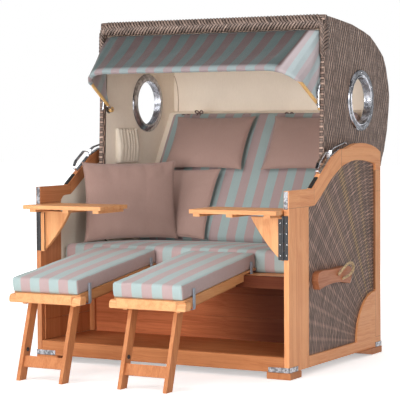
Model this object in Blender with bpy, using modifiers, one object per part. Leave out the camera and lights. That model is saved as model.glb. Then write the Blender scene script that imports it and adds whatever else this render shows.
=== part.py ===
"""Hooded beach chair: a boarded base, a recliner hood of wicker with an awning, two swing-out tables and two footrests.

The model stands on the floor at z = 0 and faces -Y. Sizes are worked out with y = 0 at the front of the side frames,
and the last step moves everything so that the origin lies under the middle of the whole chair.
"""

import math

import bmesh
import bpy
from mathutils import Matrix, Vector
from mathutils.bvhtree import BVHTree

# Whole chair
BASE_WIDTH = 1.350
BASE_DEPTH = 1.023
SEAT_GAP = 0.0003
CUT_OVERRUN = 0.02
JOIN_OVERLAP = 0.002

# Side frames
FRAME_THICK = 0.025
FRAME_BOTTOM = 0.031
FRAME_TOP = 1.037
ARM_TOP = 0.8375
ARM_UNDERSIDE = 0.760
RAIL_TOP = 0.082
STILE_SHARE = 0.198436
STILE_WIDTH = BASE_DEPTH * STILE_SHARE
GUSSET_SHARE = 0.2199413
GUSSET_RADIUS = BASE_DEPTH * GUSSET_SHARE
REAR_STILE_SHARE = 0.9384164
REAR_STILE_FRONT = BASE_DEPTH * REAR_STILE_SHARE
RABBET_WIDTH = 0.030
RABBET_DEPTH = 0.014
CORNER_FILLET = 0.012
SLOPE_SHARES = ((0.230, 0.808), (0.316, 0.865), (0.376, 0.902), (0.438, 0.943), (0.531, 0.975))
ARCH_SHARES = ((0.608, 0.978), (0.699, 0.996), (0.784, 1.000), (0.873, 0.992), (0.950, 0.975), (1.000, 0.955))
OPENING_SHARES = ((0.938, 0.899), (0.849, 0.915), (0.751, 0.922), (0.664, 0.920), (0.575, 0.903),
                  (0.530, 0.887), (0.437, 0.844), (0.315, 0.766), (0.262, 0.735))
WICKER_THICK = 0.0075
LINER_THICK = 0.0055

# Feet, sill, floor and boards of the base
FOOT_INSET = 0.114
FOOT_INNER = BASE_WIDTH / 2 - FOOT_INSET
FOOT_PROUD = 0.006
FOOT_OUTER = BASE_WIDTH / 2 + FOOT_PROUD
FOOT_LENGTH = 0.115
FOOT_TAPER = 0.176
SILL_THICK = 0.025
SILL_TOP = 0.100
FLOOR_THICK = 0.015
BOX_DEPTH = 0.435
BOX_WALL_THICK = 0.015
SEAT_RAIL_FRONT = 0.050
SEAT_RAIL_THICK = 0.025
SEAT_RAIL_BOTTOM = 0.396
SEAT_RAIL_TOP = 0.452
DECK_THICK = 0.020
DECK_STOP = 0.283
DECK_REAR = BASE_DEPTH - DECK_STOP
DECK_BOARD = 0.110
DECK_GROOVE = 0.004
BEARER_THICK = 0.028
BEARER_BOTTOM = 0.400
BEARER_TOP = 0.450
REAR_PANEL_TOP = 0.400
REAR_PANEL_THICK = 0.025
EDGE_ROUND = 0.0025

# Cap plates, catch rails and carry handles
CAP_INSET = 0.004
CAP_THICK = 0.0015
CATCH_BAR = 0.0045
CATCH_WIDTH = 0.016
CATCH_INSET = 0.0115
CATCH_CENTRE = BASE_WIDTH / 2 - CATCH_INSET
CATCH_LOOP_HEIGHT = 0.042
CATCH_LIP = 0.020
HANDLE_FRONT_SHARE = 0.2502444
HANDLE_FRONT = BASE_DEPTH * HANDLE_FRONT_SHARE
HANDLE_REAR_SHARE = 0.6177908
HANDLE_REAR = BASE_DEPTH * HANDLE_REAR_SHARE
HANDLE_BOTTOM = 0.378
HANDLE_TOP = 0.459
HANDLE_ARCH = 0.018
HANDLE_PROUD = 0.020
HANDLE_OUTER = BASE_WIDTH / 2 + HANDLE_PROUD
ROPE_RADIUS = 0.005
ROPE_REACH = 0.016

# Hood
HOOD_INSET = 0.060
HOOD_HALF = BASE_WIDTH / 2 - HOOD_INSET
HOOD_TOP = 1.641
HOOD_DEPTH = 0.804
HOOD_SETBACK = 0.551
HOOD_FRONT = BASE_DEPTH - HOOD_SETBACK
HOOD_FRONT_LEAN = 0.0415
LEAN_FROM = 0.972
SHELL_THICK = 0.010
RIM_DEPTH = 0.033
RIM_PROUD = 0.0045
RIM_FOOT = 0.620
RIM_DROP = 0.065
HOOD_SHARES = ((0.102, 0.996), (0.255, 0.989), (0.428, 0.980), (0.602, 0.963), (0.698, 0.951), (0.775, 0.932),
               (0.853, 0.909), (0.904, 0.892), (0.948, 0.859), (0.990, 0.801), (1.000, 0.770), (0.989, 0.729),
               (0.964, 0.668), (0.915, 0.606), (0.883, 0.583))
HOOD_SIDE_BOTTOM = 0.475
HOOD_FOOT_INSET = 0.063
HOOD_BACK_FOOT = BASE_DEPTH - HOOD_FOOT_INSET
HOOD_SIDE_INSET = 0.423
HOOD_SIDE_FRONT_FOOT = BASE_DEPTH - HOOD_SIDE_INSET
LINER_INSET = 0.018
LINER_HALF = HOOD_HALF - LINER_INSET
LINER_SHARE = 0.893035
LINER_LEDGE = 0.052
LINER_WALL_REAR = HOOD_FRONT + HOOD_DEPTH * LINER_SHARE
LINER_TOP_GAP = 0.022
LINER_BACK_THICK = 0.010
PIVOT_INSET = 0.273
PIVOT_Y = BASE_DEPTH - PIVOT_INSET
PIVOT_Z = 0.500
PIVOT_RADIUS = 0.008
PIVOT_CLEAR = 0.001
PORTHOLE_SHARE = 0.5460199
PORTHOLE_Y = HOOD_FRONT + HOOD_DEPTH * PORTHOLE_SHARE
PORTHOLE_Z = 1.243
PORTHOLE_HOLE = 0.125
PORTHOLE_OPENING = 0.120
PORTHOLE_FLANGE = 0.150
PORTHOLE_LIP = 0.142
PORTHOLE_PROUD = 0.009
PORTHOLE_STEPS = 28
POCKET_SETBACK = 0.126
POCKET_FRONT = HOOD_FRONT + POCKET_SETBACK
POCKET_LENGTH = 0.198
POCKET_REAR = POCKET_FRONT + POCKET_LENGTH
POCKET_BOTTOM = 0.940
POCKET_TOP = 1.108
POCKET_DEPTH = 0.026
POCKET_WALL = 0.005

# Cushions
RECLINE_SLOPE = 0.61
SEAT_INSET = 0.017
SEAT_HALF = LINER_HALF - SEAT_INSET
SEAT_FRONT = 0.180
SEAT_STOP = 0.328
SEAT_REAR = BASE_DEPTH - SEAT_STOP
SEAT_THICK_FRONT = 0.114
SEAT_THICK_REAR = 0.098
BACK_INSET = 0.062
BACK_HALF = LINER_HALF - BACK_INSET
BACK_STOP = 0.363
BACK_FOOT_Y = BASE_DEPTH - BACK_STOP
BACK_FOOT_Z = 0.565
BACK_TOP_Z = 1.171
BACK_THICK = 0.073
PILLOW_LENGTH = 0.450
PILLOW_HEIGHT = 0.305
PILLOW_THICK = 0.085
PILLOW_INSET = 0.250
PILLOW_CENTRE = BACK_HALF - PILLOW_INSET
PILLOW_SHIFT = 0.052
PILLOW_TOP_Z = 1.152
SCATTER_LENGTH = 0.490
SCATTER_HEIGHT = 0.385
SCATTER_THICK = 0.110
SCATTER_INSET = 0.245
SCATTER_REAR_LENGTH = 0.440
SCATTER_REAR_LEAN = 27.0
SCATTER_REAR_THICK = 0.078
SCATTER_TURN = 52.6
SCATTER_LEAN = 4.0
CROWN = 0.012

# Awning
AWNING_PIVOT_SETBACK = 0.058
AWNING_PIVOT_Y = HOOD_FRONT + AWNING_PIVOT_SETBACK
AWNING_PIVOT_Z = 1.208
AWNING_INSET = 0.017
AWNING_ARM_X = LINER_HALF - AWNING_INSET
AWNING_REACH = 0.232
AWNING_BAR_Y = HOOD_FRONT - AWNING_REACH
AWNING_BAR_Z = 1.388
AWNING_CORNER = 0.130
AWNING_ROD = 0.008
AWNING_EYE = 0.014
AWNING_PIN = 0.004
AWNING_EYE_HOLE = 0.005
AWNING_EYE_WIDTH = 0.014
AWNING_PLATE = 0.020
AWNING_PLATE_THICK = 0.003
CLOTH_THICK = 0.004
CLOTH_TOP_Z = 1.572
CLOTH_SIDE_FOOT = 1.250

# Tables
TABLE_REACH = 0.440
TABLE_INNER = BASE_WIDTH / 2 - TABLE_REACH
TABLE_INSET = 0.005
TABLE_OUTER = BASE_WIDTH / 2 - TABLE_INSET
TABLE_NOTCH_INSET = 0.030
TABLE_NOTCH = BASE_WIDTH / 2 - TABLE_NOTCH_INSET
TABLE_FRONT = -0.115
TABLE_REAR = 0.120
TABLE_CORNER_CUT = 0.055
TABLE_NOTCH_START = 0.020
TABLE_TOP = 0.755
TABLE_THICK = 0.0185
TABLE_SLATS = 4
SLAT_GAP = 0.004
BATTEN_WIDTH = 0.032
BATTEN_HEIGHT = 0.014
BRACKET_THICK = 0.022
BRACKET_REACH = 0.162
BRACKET_FOOT = 0.530
BRACKET_TIP = 0.012
BRACKET_BULGE = 0.010
HINGE_INSET = 0.027
HINGE_X = BASE_WIDTH / 2 - HINGE_INSET
HINGE_Y = -0.0055
HINGE_BOTTOM = 0.532
HINGE_TOP = 0.728
HINGE_LEAF_THICK = 0.0025
HINGE_LEAF_WIDTH = 0.024
HINGE_BARREL = 0.005
HINGE_KNUCKLES = 5

# Footrests
FOOTREST_WIDTH = 0.355
FOOTREST_CENTRE = 0.265
FOOTREST_SHIFT = -0.0195
FOOTREST_FRONT = -0.510
FOOTREST_REAR = 0.170
FOOTREST_SLOPE = 0.134
FOOTREST_BOARD = 0.009
FOOTREST_RAIL_HEIGHT = 0.028
FOOTREST_RAIL_THICK = 0.020
FOOTREST_BEVEL = 0.030
RUNNER_THICK = 0.020
RUNNER_HEIGHT = 0.050
RUNNER_FRONT = -0.465
RUNNER_REAR = 0.037
PAD_THICK = 0.071
LEG_THICK = 0.018
LEG_WIDTH = 0.050
LEG_OUTER = 0.1225
LEG_HINGE_Y = -0.420
LEG_HINGE_Z = 0.352
LEG_FOOT_Y = -0.525
LEG_PIN = 0.005
LEG_PIN_HOLE = 0.0062
STRETCHER_LOW = 0.057
STRETCHER_HIGH = 0.105
STRETCHER_THICK = 0.018

PLANE_SIDE = Matrix(((0, 0, 1, 0), (1, 0, 0, 0), (0, 1, 0, 0), (0, 0, 0, 1)))
PLANE_FRONT = Matrix(((1, 0, 0, 0), (0, 0, -1, 0), (0, 1, 0, 0), (0, 0, 0, 1)))
PLANE_FLOOR = Matrix.Identity(4)

WOOD = ("teak", (0.62, 0.31, 0.14), 0.5, 0.0)
WOOD_INSIDE = ("reddish_wood", (0.36, 0.14, 0.07), 0.55, 0.0)
WICKER = ("wicker", (0.42, 0.35, 0.29), 0.6, 0.0)
CREAM = ("cream_cloth", (0.74, 0.66, 0.54), 0.9, 0.0)
STRIPED = ("striped_cloth", (0.52, 0.60, 0.56), 0.9, 0.0)
MAUVE = ("mauve_cloth", (0.44, 0.32, 0.30), 0.9, 0.0)
CHROME = ("bright_metal", (0.75, 0.75, 0.75), 0.2, 1.0)
BLACK = ("black_metal", (0.02, 0.02, 0.02), 0.45, 0.6)
ROPE = ("rope", (0.60, 0.54, 0.44), 0.9, 0.0)

INNER_FACE = BASE_WIDTH / 2 - FRAME_THICK
OUTER_FACE = BASE_WIDTH / 2


def clear_scene():
    """Remove every object of the start scene."""
    for leftover in list(bpy.data.objects):
        bpy.data.objects.remove(leftover, do_unlink=True)


def new_collection(name, hidden=False):
    """A collection under the scene's own."""
    collection = bpy.data.collections.new(name)
    collection.hide_render = hidden
    bpy.context.scene.collection.children.link(collection)
    return collection


def finish(kind):
    """The material for one of the finishes above, made once."""
    name, colour, roughness, metallic = kind
    if name in bpy.data.materials:
        return bpy.data.materials[name]
    made = bpy.data.materials.new(name)
    made.use_nodes = True
    shader = made.node_tree.nodes["Principled BSDF"]
    shader.inputs["Base Color"].default_value = (*colour, 1.0)
    shader.inputs["Roughness"].default_value = roughness
    shader.inputs["Metallic"].default_value = metallic
    return made


def tidy(mesh):
    """Weld a mesh and turn its faces outwards."""
    work = bmesh.new()
    work.from_mesh(mesh)
    bmesh.ops.remove_doubles(work, verts=work.verts, dist=1e-6)
    bmesh.ops.recalc_face_normals(work, faces=work.faces)
    work.to_mesh(mesh)
    work.free()


def add(name, mesh, kind):
    """Put a mesh in the scene as one named piece."""
    mesh.name = name
    mesh.materials.clear()
    mesh.materials.append(finish(kind))
    piece = bpy.data.objects.new(name, mesh)
    PARTS.objects.link(piece)
    return piece


def evaluated_mesh(piece):
    """The mesh that the viewport shows for an object."""
    bpy.context.view_layer.update()
    graph = bpy.context.evaluated_depsgraph_get()
    return bpy.data.meshes.new_from_object(piece.evaluated_get(graph))


def baked(piece):
    """Apply all modifiers of a piece."""
    mesh = evaluated_mesh(piece)
    piece.modifiers.clear()
    piece.data = mesh
    return piece


def prism(name, loops, near, far, plane, kind):
    """A flat outline, with any further loops as holes, extruded from near to far along the plane's normal."""
    curve = bpy.data.curves.new(name, "CURVE")
    curve.dimensions = "2D"
    curve.fill_mode = "BOTH"
    curve.extrude = abs(far - near) / 2
    for loop in loops:
        spline = curve.splines.new("POLY")
        spline.points.add(len(loop) - 1)
        for point, (across, up) in zip(spline.points, loop):
            point.co = (across, up, 0, 1)
        spline.use_cyclic_u = True
    holder = bpy.data.objects.new(name + "_outline", curve)
    PARTS.objects.link(holder)
    mesh = evaluated_mesh(holder)
    bpy.data.objects.remove(holder)
    tidy(mesh)
    middle = (near + far) / 2
    along = -middle if plane is PLANE_FRONT else middle
    mesh.transform(plane @ Matrix.Translation((0, 0, along)))
    return add(name, mesh, kind)


def board(name, low, high, kind, rounding=EDGE_ROUND):
    """A box between two corners, its edges rounded."""
    mesh = bpy.data.meshes.new(name)
    work = bmesh.new()
    bmesh.ops.create_cube(work, size=1)
    size = [b - a for a, b in zip(low, high)]
    middle = [(a + b) / 2 for a, b in zip(low, high)]
    bmesh.ops.transform(work, matrix=Matrix.Diagonal((*size, 1)), verts=work.verts)
    bmesh.ops.translate(work, vec=middle, verts=work.verts)
    work.to_mesh(mesh)
    work.free()
    piece = add(name, mesh, kind)
    return rounded(piece, rounding, 1) if rounding else piece


def rounded(piece, width, segments=1, angle=math.radians(50)):
    """Round a piece's sharp edges."""
    bevel = piece.modifiers.new("rounding", "BEVEL")
    bevel.width = width
    bevel.segments = segments
    bevel.limit_method = "ANGLE"
    bevel.angle_limit = angle
    bevel.use_clamp_overlap = True
    return baked(piece)


def cylinder(name, start, end, radius, kind, steps=16):
    """A round bar between two points."""
    mesh = bpy.data.meshes.new(name)
    work = bmesh.new()
    start = Vector(start)
    run = Vector(end) - start
    bmesh.ops.create_cone(work, cap_ends=True, segments=steps, radius1=radius, radius2=radius, depth=run.length)
    turn = Vector((0, 0, 1)).rotation_difference(run).to_matrix().to_4x4()
    bmesh.ops.transform(work, matrix=Matrix.Translation(start + run / 2) @ turn, verts=work.verts)
    work.to_mesh(mesh)
    work.free()
    return add(name, mesh, kind)


def merge(target, tools, operation):
    """Join tools to a piece or cut them from it, and use the tools up."""
    for tool in tools:
        boolean = target.modifiers.new("merge", "BOOLEAN")
        boolean.operation = operation
        boolean.object = tool
        baked(target)
        bpy.data.objects.remove(tool)
    work = bmesh.new()
    work.from_mesh(target.data)
    bmesh.ops.remove_doubles(work, verts=work.verts, dist=1e-6)
    bmesh.ops.dissolve_limit(work, angle_limit=math.radians(0.05), verts=work.verts, edges=work.edges)
    work.to_mesh(target.data)
    work.free()
    kind = target.data.materials[0]
    target.data.materials.clear()
    target.data.materials.append(kind)
    return target


def smoothed(piece, angle=math.radians(35)):
    """Shade a round piece smooth, keeping its sharp edges."""
    piece.data.shade_smooth()
    piece.data.set_sharp_from_angle(angle=angle)
    return piece


def mirrored(piece, name):
    """The other side's copy of a piece."""
    mesh = piece.data.copy()
    mesh.transform(Matrix.Scale(-1, 4, (1, 0, 0)))
    mesh.flip_normals()
    other = bpy.data.objects.new(name, mesh)
    mesh.name = name
    PARTS.objects.link(other)
    return other


def pair(piece, stem):
    """Name a right-hand piece and add its left-hand copy."""
    piece.name = stem + "_right"
    return [piece, mirrored(piece, stem + "_left")]


def arc(centre, radius, start, stop, steps):
    """Points along an arc, angles in degrees."""
    angles = [math.radians(start + (stop - start) * i / steps) for i in range(steps + 1)]
    return [(centre[0] + radius * math.cos(a), centre[1] + radius * math.sin(a)) for a in angles]


def flowing(points, steps=3):
    """A smooth line through a few points, with its ends kept."""
    ends = [points[0], *points, points[-1]]
    line = []
    for a, b, c, d in zip(ends, ends[1:], ends[2:], ends[3:]):
        for i in range(steps):
            t = i / steps
            line.append(tuple(
                0.5 * (2 * q + (r - p) * t + (2 * p - 5 * q + 4 * r - s) * t * t + (3 * q - p - 3 * r + s) * t ** 3)
                for p, q, r, s in zip(a, b, c, d)))
    return [*line, points[-1]]


def offset(loop, distance):
    """A counter-clockwise loop moved outwards by a distance, or inwards by a negative one."""
    moved = []
    count = len(loop)
    for i, here in enumerate(loop):
        before = Vector(here) - Vector(loop[i - 1])
        after = Vector(loop[(i + 1) % count]) - Vector(here)
        out_before = Vector((before.y, -before.x)).normalized()
        out_after = Vector((after.y, -after.x)).normalized()
        middle = (out_before + out_after).normalized()
        stretch = distance / max(middle.dot(out_after), 0.3)
        moved.append(tuple(Vector(here) + middle * stretch))
    return moved


def ribbon(path, width):
    """The outline of a flat bar bent along a path."""
    left = []
    right = []
    for i, here in enumerate(path):
        before = Vector(here) - Vector(path[max(i - 1, 0)])
        after = Vector(path[min(i + 1, len(path) - 1)]) - Vector(here)
        run = (before.normalized() + after.normalized()).normalized()
        side = Vector((-run.y, run.x))
        nonzero = after if after.length else before
        square = Vector((-nonzero.y, nonzero.x)).normalized()
        reach = width / 2 / max(side.dot(square), 0.5)
        left.append(tuple(Vector(here) + side * reach))
        right.append(tuple(Vector(here) - side * reach))
    return left + right[::-1]


def tube(name, points, radius, kind, smooth=True, steps=1):
    """A round rod along points."""
    curve = bpy.data.curves.new(name, "CURVE")
    curve.dimensions = "3D"
    curve.bevel_depth = radius
    curve.bevel_resolution = steps
    curve.use_fill_caps = True
    spline = curve.splines.new("POLY")
    spline.points.add(len(points) - 1)
    for point, place in zip(spline.points, points):
        point.co = (*place, 1)
    holder = bpy.data.objects.new(name + "_line", curve)
    PARTS.objects.link(holder)
    mesh = evaluated_mesh(holder)
    bpy.data.objects.remove(holder)
    tidy(mesh)
    piece = add(name, mesh, kind)
    return smoothed(piece) if smooth else piece


def side_outline():
    """The outer edge of a side frame: stile, arm, sloped board and arched board."""
    slope = [(BASE_DEPTH * y, FRAME_TOP * z) for y, z in SLOPE_SHARES]
    arch = [(BASE_DEPTH * y, FRAME_TOP * z) for y, z in ARCH_SHARES]
    top = [slope[0], *slope[1:-1], *flowing([slope[-1], *arch])]
    return [(0, FRAME_BOTTOM), (BASE_DEPTH, FRAME_BOTTOM), *top[::-1], (0, ARM_TOP)]


def side_opening():
    """The opening of a side frame, with the round gusset at its lower rear corner."""
    gusset_centre = (REAR_STILE_FRONT, RAIL_TOP + EDGE_ROUND)
    gusset = arc(gusset_centre, GUSSET_RADIUS, 180, 90, 8)
    upper = flowing([(BASE_DEPTH * y, FRAME_TOP * z) for y, z in OPENING_SHARES], 2)
    front = (STILE_WIDTH + CORNER_FILLET, ARM_UNDERSIDE - CORNER_FILLET)
    fillet = arc(front, CORNER_FILLET, 90, 180, 3)
    return [(STILE_WIDTH, RAIL_TOP), (gusset[0][0], RAIL_TOP), *gusset, *upper, *fillet]


def side_frames():
    """Side frames with their wicker panels and cloth liners let into a rabbet."""
    rabbet = offset(side_opening(), RABBET_WIDTH)
    frame = prism("side_frame", [side_outline(), side_opening()], INNER_FACE, OUTER_FACE, PLANE_SIDE, WOOD)
    recess = prism("rabbet", [rabbet], INNER_FACE - CUT_OVERRUN, INNER_FACE + RABBET_DEPTH, PLANE_SIDE, WOOD)
    rounded(frame, EDGE_ROUND)
    merge(frame, [recess], "DIFFERENCE")
    panel = offset(rabbet, -SEAT_GAP)
    wicker_outer = INNER_FACE + RABBET_DEPTH - SEAT_GAP
    wicker_inner = wicker_outer - WICKER_THICK
    wicker = prism("side_wicker", [panel], wicker_inner, wicker_outer, PLANE_SIDE, WICKER)
    liner_outer = wicker_inner - SEAT_GAP
    liner = prism("side_liner", [panel], liner_outer - LINER_THICK, liner_outer, PLANE_SIDE, CREAM)
    return pair(frame, "side_frame") + pair(wicker, "side_wicker") + pair(liner, "side_liner")


def feet():
    """Foot blocks under the corners, the rear ones tapered towards the front."""
    top = FRAME_BOTTOM - SEAT_GAP
    front = board("foot_front", (FOOT_INNER, 0, 0), (FOOT_OUTER, FOOT_LENGTH, top), WOOD)
    heel = BASE_DEPTH - FOOT_LENGTH
    wedge = [(heel - FOOT_TAPER, top), (heel, 0), (BASE_DEPTH, 0), (BASE_DEPTH, top)]
    rear = prism("foot_rear", [wedge], FOOT_INNER, FOOT_OUTER, PLANE_SIDE, WOOD)
    return pair(front, "foot_front") + pair(rear, "foot_rear")


def grooved(piece, edges, groove, low, high):
    """Cut thin grooves between the boards of a panel; edges are their places along z, low and high the box's ends."""
    cutters = []
    for i, edge in enumerate(edges):
        cutters.append(board("groove%d" % i, (low[0], low[1], edge - groove / 2),
                             (high[0], high[1], edge + groove / 2), WOOD, 0))
    return merge(piece, cutters, "DIFFERENCE")


def base_boards():
    """Sill, floor, back wall of the footrest box, seat rail, deck, bearers and rear panel."""
    side = INNER_FACE - SEAT_GAP
    between = side - BEARER_THICK - SEAT_GAP
    sill = board("front_sill", (-side, 0, FRAME_BOTTOM), (side, SILL_THICK, SILL_TOP), WOOD)
    floor = board("base_floor", (-side, SILL_THICK + SEAT_GAP, SILL_TOP - FLOOR_THICK),
                  (side, BOX_DEPTH - SEAT_GAP, SILL_TOP), WOOD_INSIDE)
    deck_low = SEAT_RAIL_TOP - DECK_THICK
    wall_rear = BOX_DEPTH + BOX_WALL_THICK
    wall = board("box_back_wall", (-between, BOX_DEPTH, FRAME_BOTTOM), (between, wall_rear, deck_low - SEAT_GAP),
                 WOOD_INSIDE)
    spacing = (deck_low - SILL_TOP) / 3
    grooved(wall, [SILL_TOP + spacing, SILL_TOP + 2 * spacing], DECK_GROOVE,
            (-BASE_WIDTH, BOX_DEPTH - DECK_GROOVE), (BASE_WIDTH, BOX_DEPTH + DECK_GROOVE))
    rail_rear = SEAT_RAIL_FRONT + SEAT_RAIL_THICK
    rail = board("seat_front_rail", (-side, SEAT_RAIL_FRONT, SEAT_RAIL_BOTTOM), (side, rail_rear, SEAT_RAIL_TOP),
                 WOOD_INSIDE)
    deck = board("seat_deck", (-between, rail_rear + SEAT_GAP, deck_low), (between, DECK_REAR, SEAT_RAIL_TOP), WOOD)
    cuts = []
    count = int((DECK_REAR - rail_rear) / DECK_BOARD)
    for i in range(1, count):
        y = rail_rear + i * DECK_BOARD
        cuts.append(board("cut%d" % i, (-BASE_WIDTH, y, deck_low + DECK_THICK / 2),
                          (BASE_WIDTH, y + DECK_GROOVE, SEAT_RAIL_TOP + CUT_OVERRUN), WOOD, 0))
    merge(deck, cuts, "DIFFERENCE")
    lobe = arc((PIVOT_Y, PIVOT_Z), BEARER_THICK, 0, 180, 8)
    bar_front = rail_rear + SEAT_GAP
    bar_rear = BASE_DEPTH - REAR_PANEL_THICK - SEAT_GAP
    outline = [(bar_front, BEARER_BOTTOM), (bar_rear, BEARER_BOTTOM), (bar_rear, BEARER_TOP),
               (PIVOT_Y + 2 * BEARER_THICK, BEARER_TOP), *lobe, (PIVOT_Y - 2 * BEARER_THICK, BEARER_TOP),
               (bar_front, BEARER_TOP)]
    hole = arc((PIVOT_Y, PIVOT_Z), PIVOT_RADIUS + PIVOT_CLEAR, 0, 345, 23)
    bearer = prism("seat_bearer", [outline, hole], side - BEARER_THICK, side, PLANE_SIDE, WOOD)
    rear = board("rear_panel", (-side, BASE_DEPTH - REAR_PANEL_THICK, FRAME_BOTTOM),
                 (side, BASE_DEPTH, REAR_PANEL_TOP), WOOD)
    return [sill, floor, wall, rail, deck, rear] + pair(bearer, "seat_bearer")


def cap_plates():
    """Bright plates on the front ends of the arms."""
    plate = board("arm_cap", (INNER_FACE + CAP_INSET / 2, -CAP_THICK - SEAT_GAP, ARM_UNDERSIDE - CAP_INSET),
                  (OUTER_FACE - CAP_INSET, -SEAT_GAP, ARM_TOP - CAP_INSET / 2), CHROME, 0)
    return pair(plate, "arm_cap")


def catch_rails():
    """The catch rail on each sloped board: a strap with two open loops that hold the hood's studs."""
    slope = [Vector((BASE_DEPTH * y, FRAME_TOP * z)) for y, z in SLOPE_SHARES]
    rise = CATCH_BAR / 2 + SEAT_GAP

    def on_slope(a, b, share, lift):
        """A point a share of the way from one slope point to the next, lifted square off the board."""
        run = (b - a).normalized()
        place = a.lerp(b, share) + Vector((-run.y, run.x)) * (rise + lift)
        return tuple(place)

    low_a, low_b, low_c, low_d = slope[1], slope[2], slope[3], slope[4]
    strap = [on_slope(low_a, low_b, 0.15, 0), on_slope(low_b, low_c, 0.05, 0), on_slope(low_c, low_d, 0.0, 0),
             on_slope(low_c, low_d, 0.98, 0)]
    start = Vector(strap[0])
    end = Vector(on_slope(low_b, low_c, 0.88, 0))
    run = (end - start).normalized()
    up = Vector((-run.y, run.x))
    length = (end - start).length
    front_lip = [tuple(start + run * CATCH_BAR), tuple(start - run * CATCH_BAR * 2 + up * CATCH_LIP)]
    hoop_shares = ((1.0, 0.0), (1.06, 0.45), (0.86, 1.0), (0.2, 1.0), (-0.03, 0.72))
    hoop = [tuple(start + run * length * along + up * CATCH_LOOP_HEIGHT * high) for along, high in hoop_shares]
    stop_start = Vector(on_slope(low_c, low_d, 0.10, 0))
    stop_end = Vector((BASE_DEPTH * ARCH_SHARES[0][0], FRAME_TOP * ARCH_SHARES[0][1]))
    stop_run = (stop_end - stop_start).normalized()
    stop_up = Vector((-stop_run.y, stop_run.x))
    stop_length = (stop_end - stop_start).length
    stop_shares = ((0.0, 0.0), (0.05, 0.55), (0.22, 0.75), (0.95, 0.75), (1.1, 0.45))
    stop = [tuple(stop_start + stop_run * stop_length * along + stop_up * CATCH_LIP * 2 * high)
            for along, high in stop_shares]
    half = CATCH_WIDTH / 2
    rail = prism("catch_rail", [ribbon(strap, CATCH_BAR)], CATCH_CENTRE - half, CATCH_CENTRE + half, PLANE_SIDE,
                 CHROME)
    inset = CATCH_BAR / 6
    parts = []
    for i, path in enumerate((front_lip, hoop, stop)):
        parts.append(prism("catch_part%d" % i, [ribbon(path, CATCH_BAR)], CATCH_CENTRE - half + inset,
                           CATCH_CENTRE + half - inset, PLANE_SIDE, CHROME))
    merge(rail, parts, "UNION")
    return pair(rail, "catch_rail")


def carry_handles():
    """A crescent block on each wicker side, with a rope loop through it."""
    wicker_face = INNER_FACE + RABBET_DEPTH
    middle = (HANDLE_FRONT + HANDLE_REAR) / 2
    reach = (HANDLE_REAR - HANDLE_FRONT) / 2
    tall = HANDLE_TOP - HANDLE_BOTTOM
    top = flowing([(HANDLE_REAR, HANDLE_TOP - tall / 2), (HANDLE_REAR - tall / 3, HANDLE_TOP),
                   (middle, HANDLE_TOP), (HANDLE_FRONT + tall / 3, HANDLE_TOP),
                   (HANDLE_FRONT, HANDLE_TOP - tall / 2)], 4)
    low = flowing([(HANDLE_FRONT + tall / 4, HANDLE_BOTTOM), (middle - reach / 2, HANDLE_BOTTOM + HANDLE_ARCH * 0.7),
                   (middle, HANDLE_BOTTOM + HANDLE_ARCH), (middle + reach / 2, HANDLE_BOTTOM + HANDLE_ARCH * 0.7),
                   (HANDLE_REAR - tall / 4, HANDLE_BOTTOM)], 4)
    block = prism("carry_handle", [low + top], wicker_face, HANDLE_OUTER, PLANE_SIDE, WOOD)
    rounded(block, EDGE_ROUND * 1.6)
    face = HANDLE_OUTER + SEAT_GAP
    out = face + ROPE_REACH
    route_shares = ((0.0, 0.0, 0.62), (0.0, 0.25, 0.62), (0.0, 0.5, 0.62), (0.12, 1.0, 0.65), (0.3, 1.0, 0.74), (0.6, 1.0, 0.98),
                    (0.85, 1.0, 1.15), (0.97, 1.0, 1.2), (1.0, 1.0, 1.0), (0.85, 1.0, 0.75), (0.55, 1.0, 0.5),
                    (0.3, 1.0, 0.38), (0.12, 1.0, 0.3), (0.0, 0.5, 0.3), (0.0, 0.25, 0.3), (0.0, 0.0, 0.3))
    rope_start = middle
    rope_reach = reach
    route = [(face + (out - face) * off, rope_start + rope_reach * along, HANDLE_BOTTOM + tall * high)
             for along, off, high in route_shares]
    rope = tube("rope_loop", flowing(route, 2), ROPE_RADIUS, ROPE)
    return pair(block, "carry_handle") + pair(rope, "rope_loop")


def table_hinges():
    """The fixed leaf of each table hinge on the front of the stile."""
    return pair(hinge_leaf("table_hinge", 0, 1, HINGE_TOP), "table_hinge")


def hinge_leaf(name, first, side, top):
    """A hinge leaf to one side of the barrel, with every other knuckle from the first one given."""
    clear = HINGE_BARREL + PIVOT_CLEAR
    back = -SEAT_GAP
    front = back - HINGE_LEAF_THICK
    near = HINGE_X + side * clear
    far = HINGE_X + side * HINGE_LEAF_WIDTH
    leaf = board(name, (min(near, far), front, HINGE_BOTTOM), (max(near, far), back, top), BLACK, 0)
    tall = (HINGE_TOP - HINGE_BOTTOM) / HINGE_KNUCKLES
    added = []
    for i in range(first, HINGE_KNUCKLES, 2):
        low = HINGE_BOTTOM + i * tall + SEAT_GAP
        high = HINGE_BOTTOM + (i + 1) * tall - SEAT_GAP
        added.append(cylinder("knuckle%d" % i, (HINGE_X, HINGE_Y, low), (HINGE_X, HINGE_Y, high), HINGE_BARREL, BLACK,
                              12))
        inner = HINGE_X + side * JOIN_OVERLAP
        outer = near + side * JOIN_OVERLAP
        added.append(board("tab%d" % i, (min(inner, outer), front + SEAT_GAP, low),
                           (max(inner, outer), back - SEAT_GAP, high), BLACK, 0))
    return merge(leaf, added, "UNION")


def front_y(z):
    """The hood's front edge, which leans back a little towards the top."""
    return HOOD_FRONT + HOOD_FRONT_LEAN * (z - LEAN_FROM)


def hood_back_line():
    """The hood's back and top, from its foot up to the front."""
    line = [(HOOD_FRONT + HOOD_DEPTH * y, HOOD_TOP * z) for y, z in HOOD_SHARES]
    return [(HOOD_BACK_FOOT, HOOD_SIDE_BOTTOM), *line[::-1]]


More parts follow.
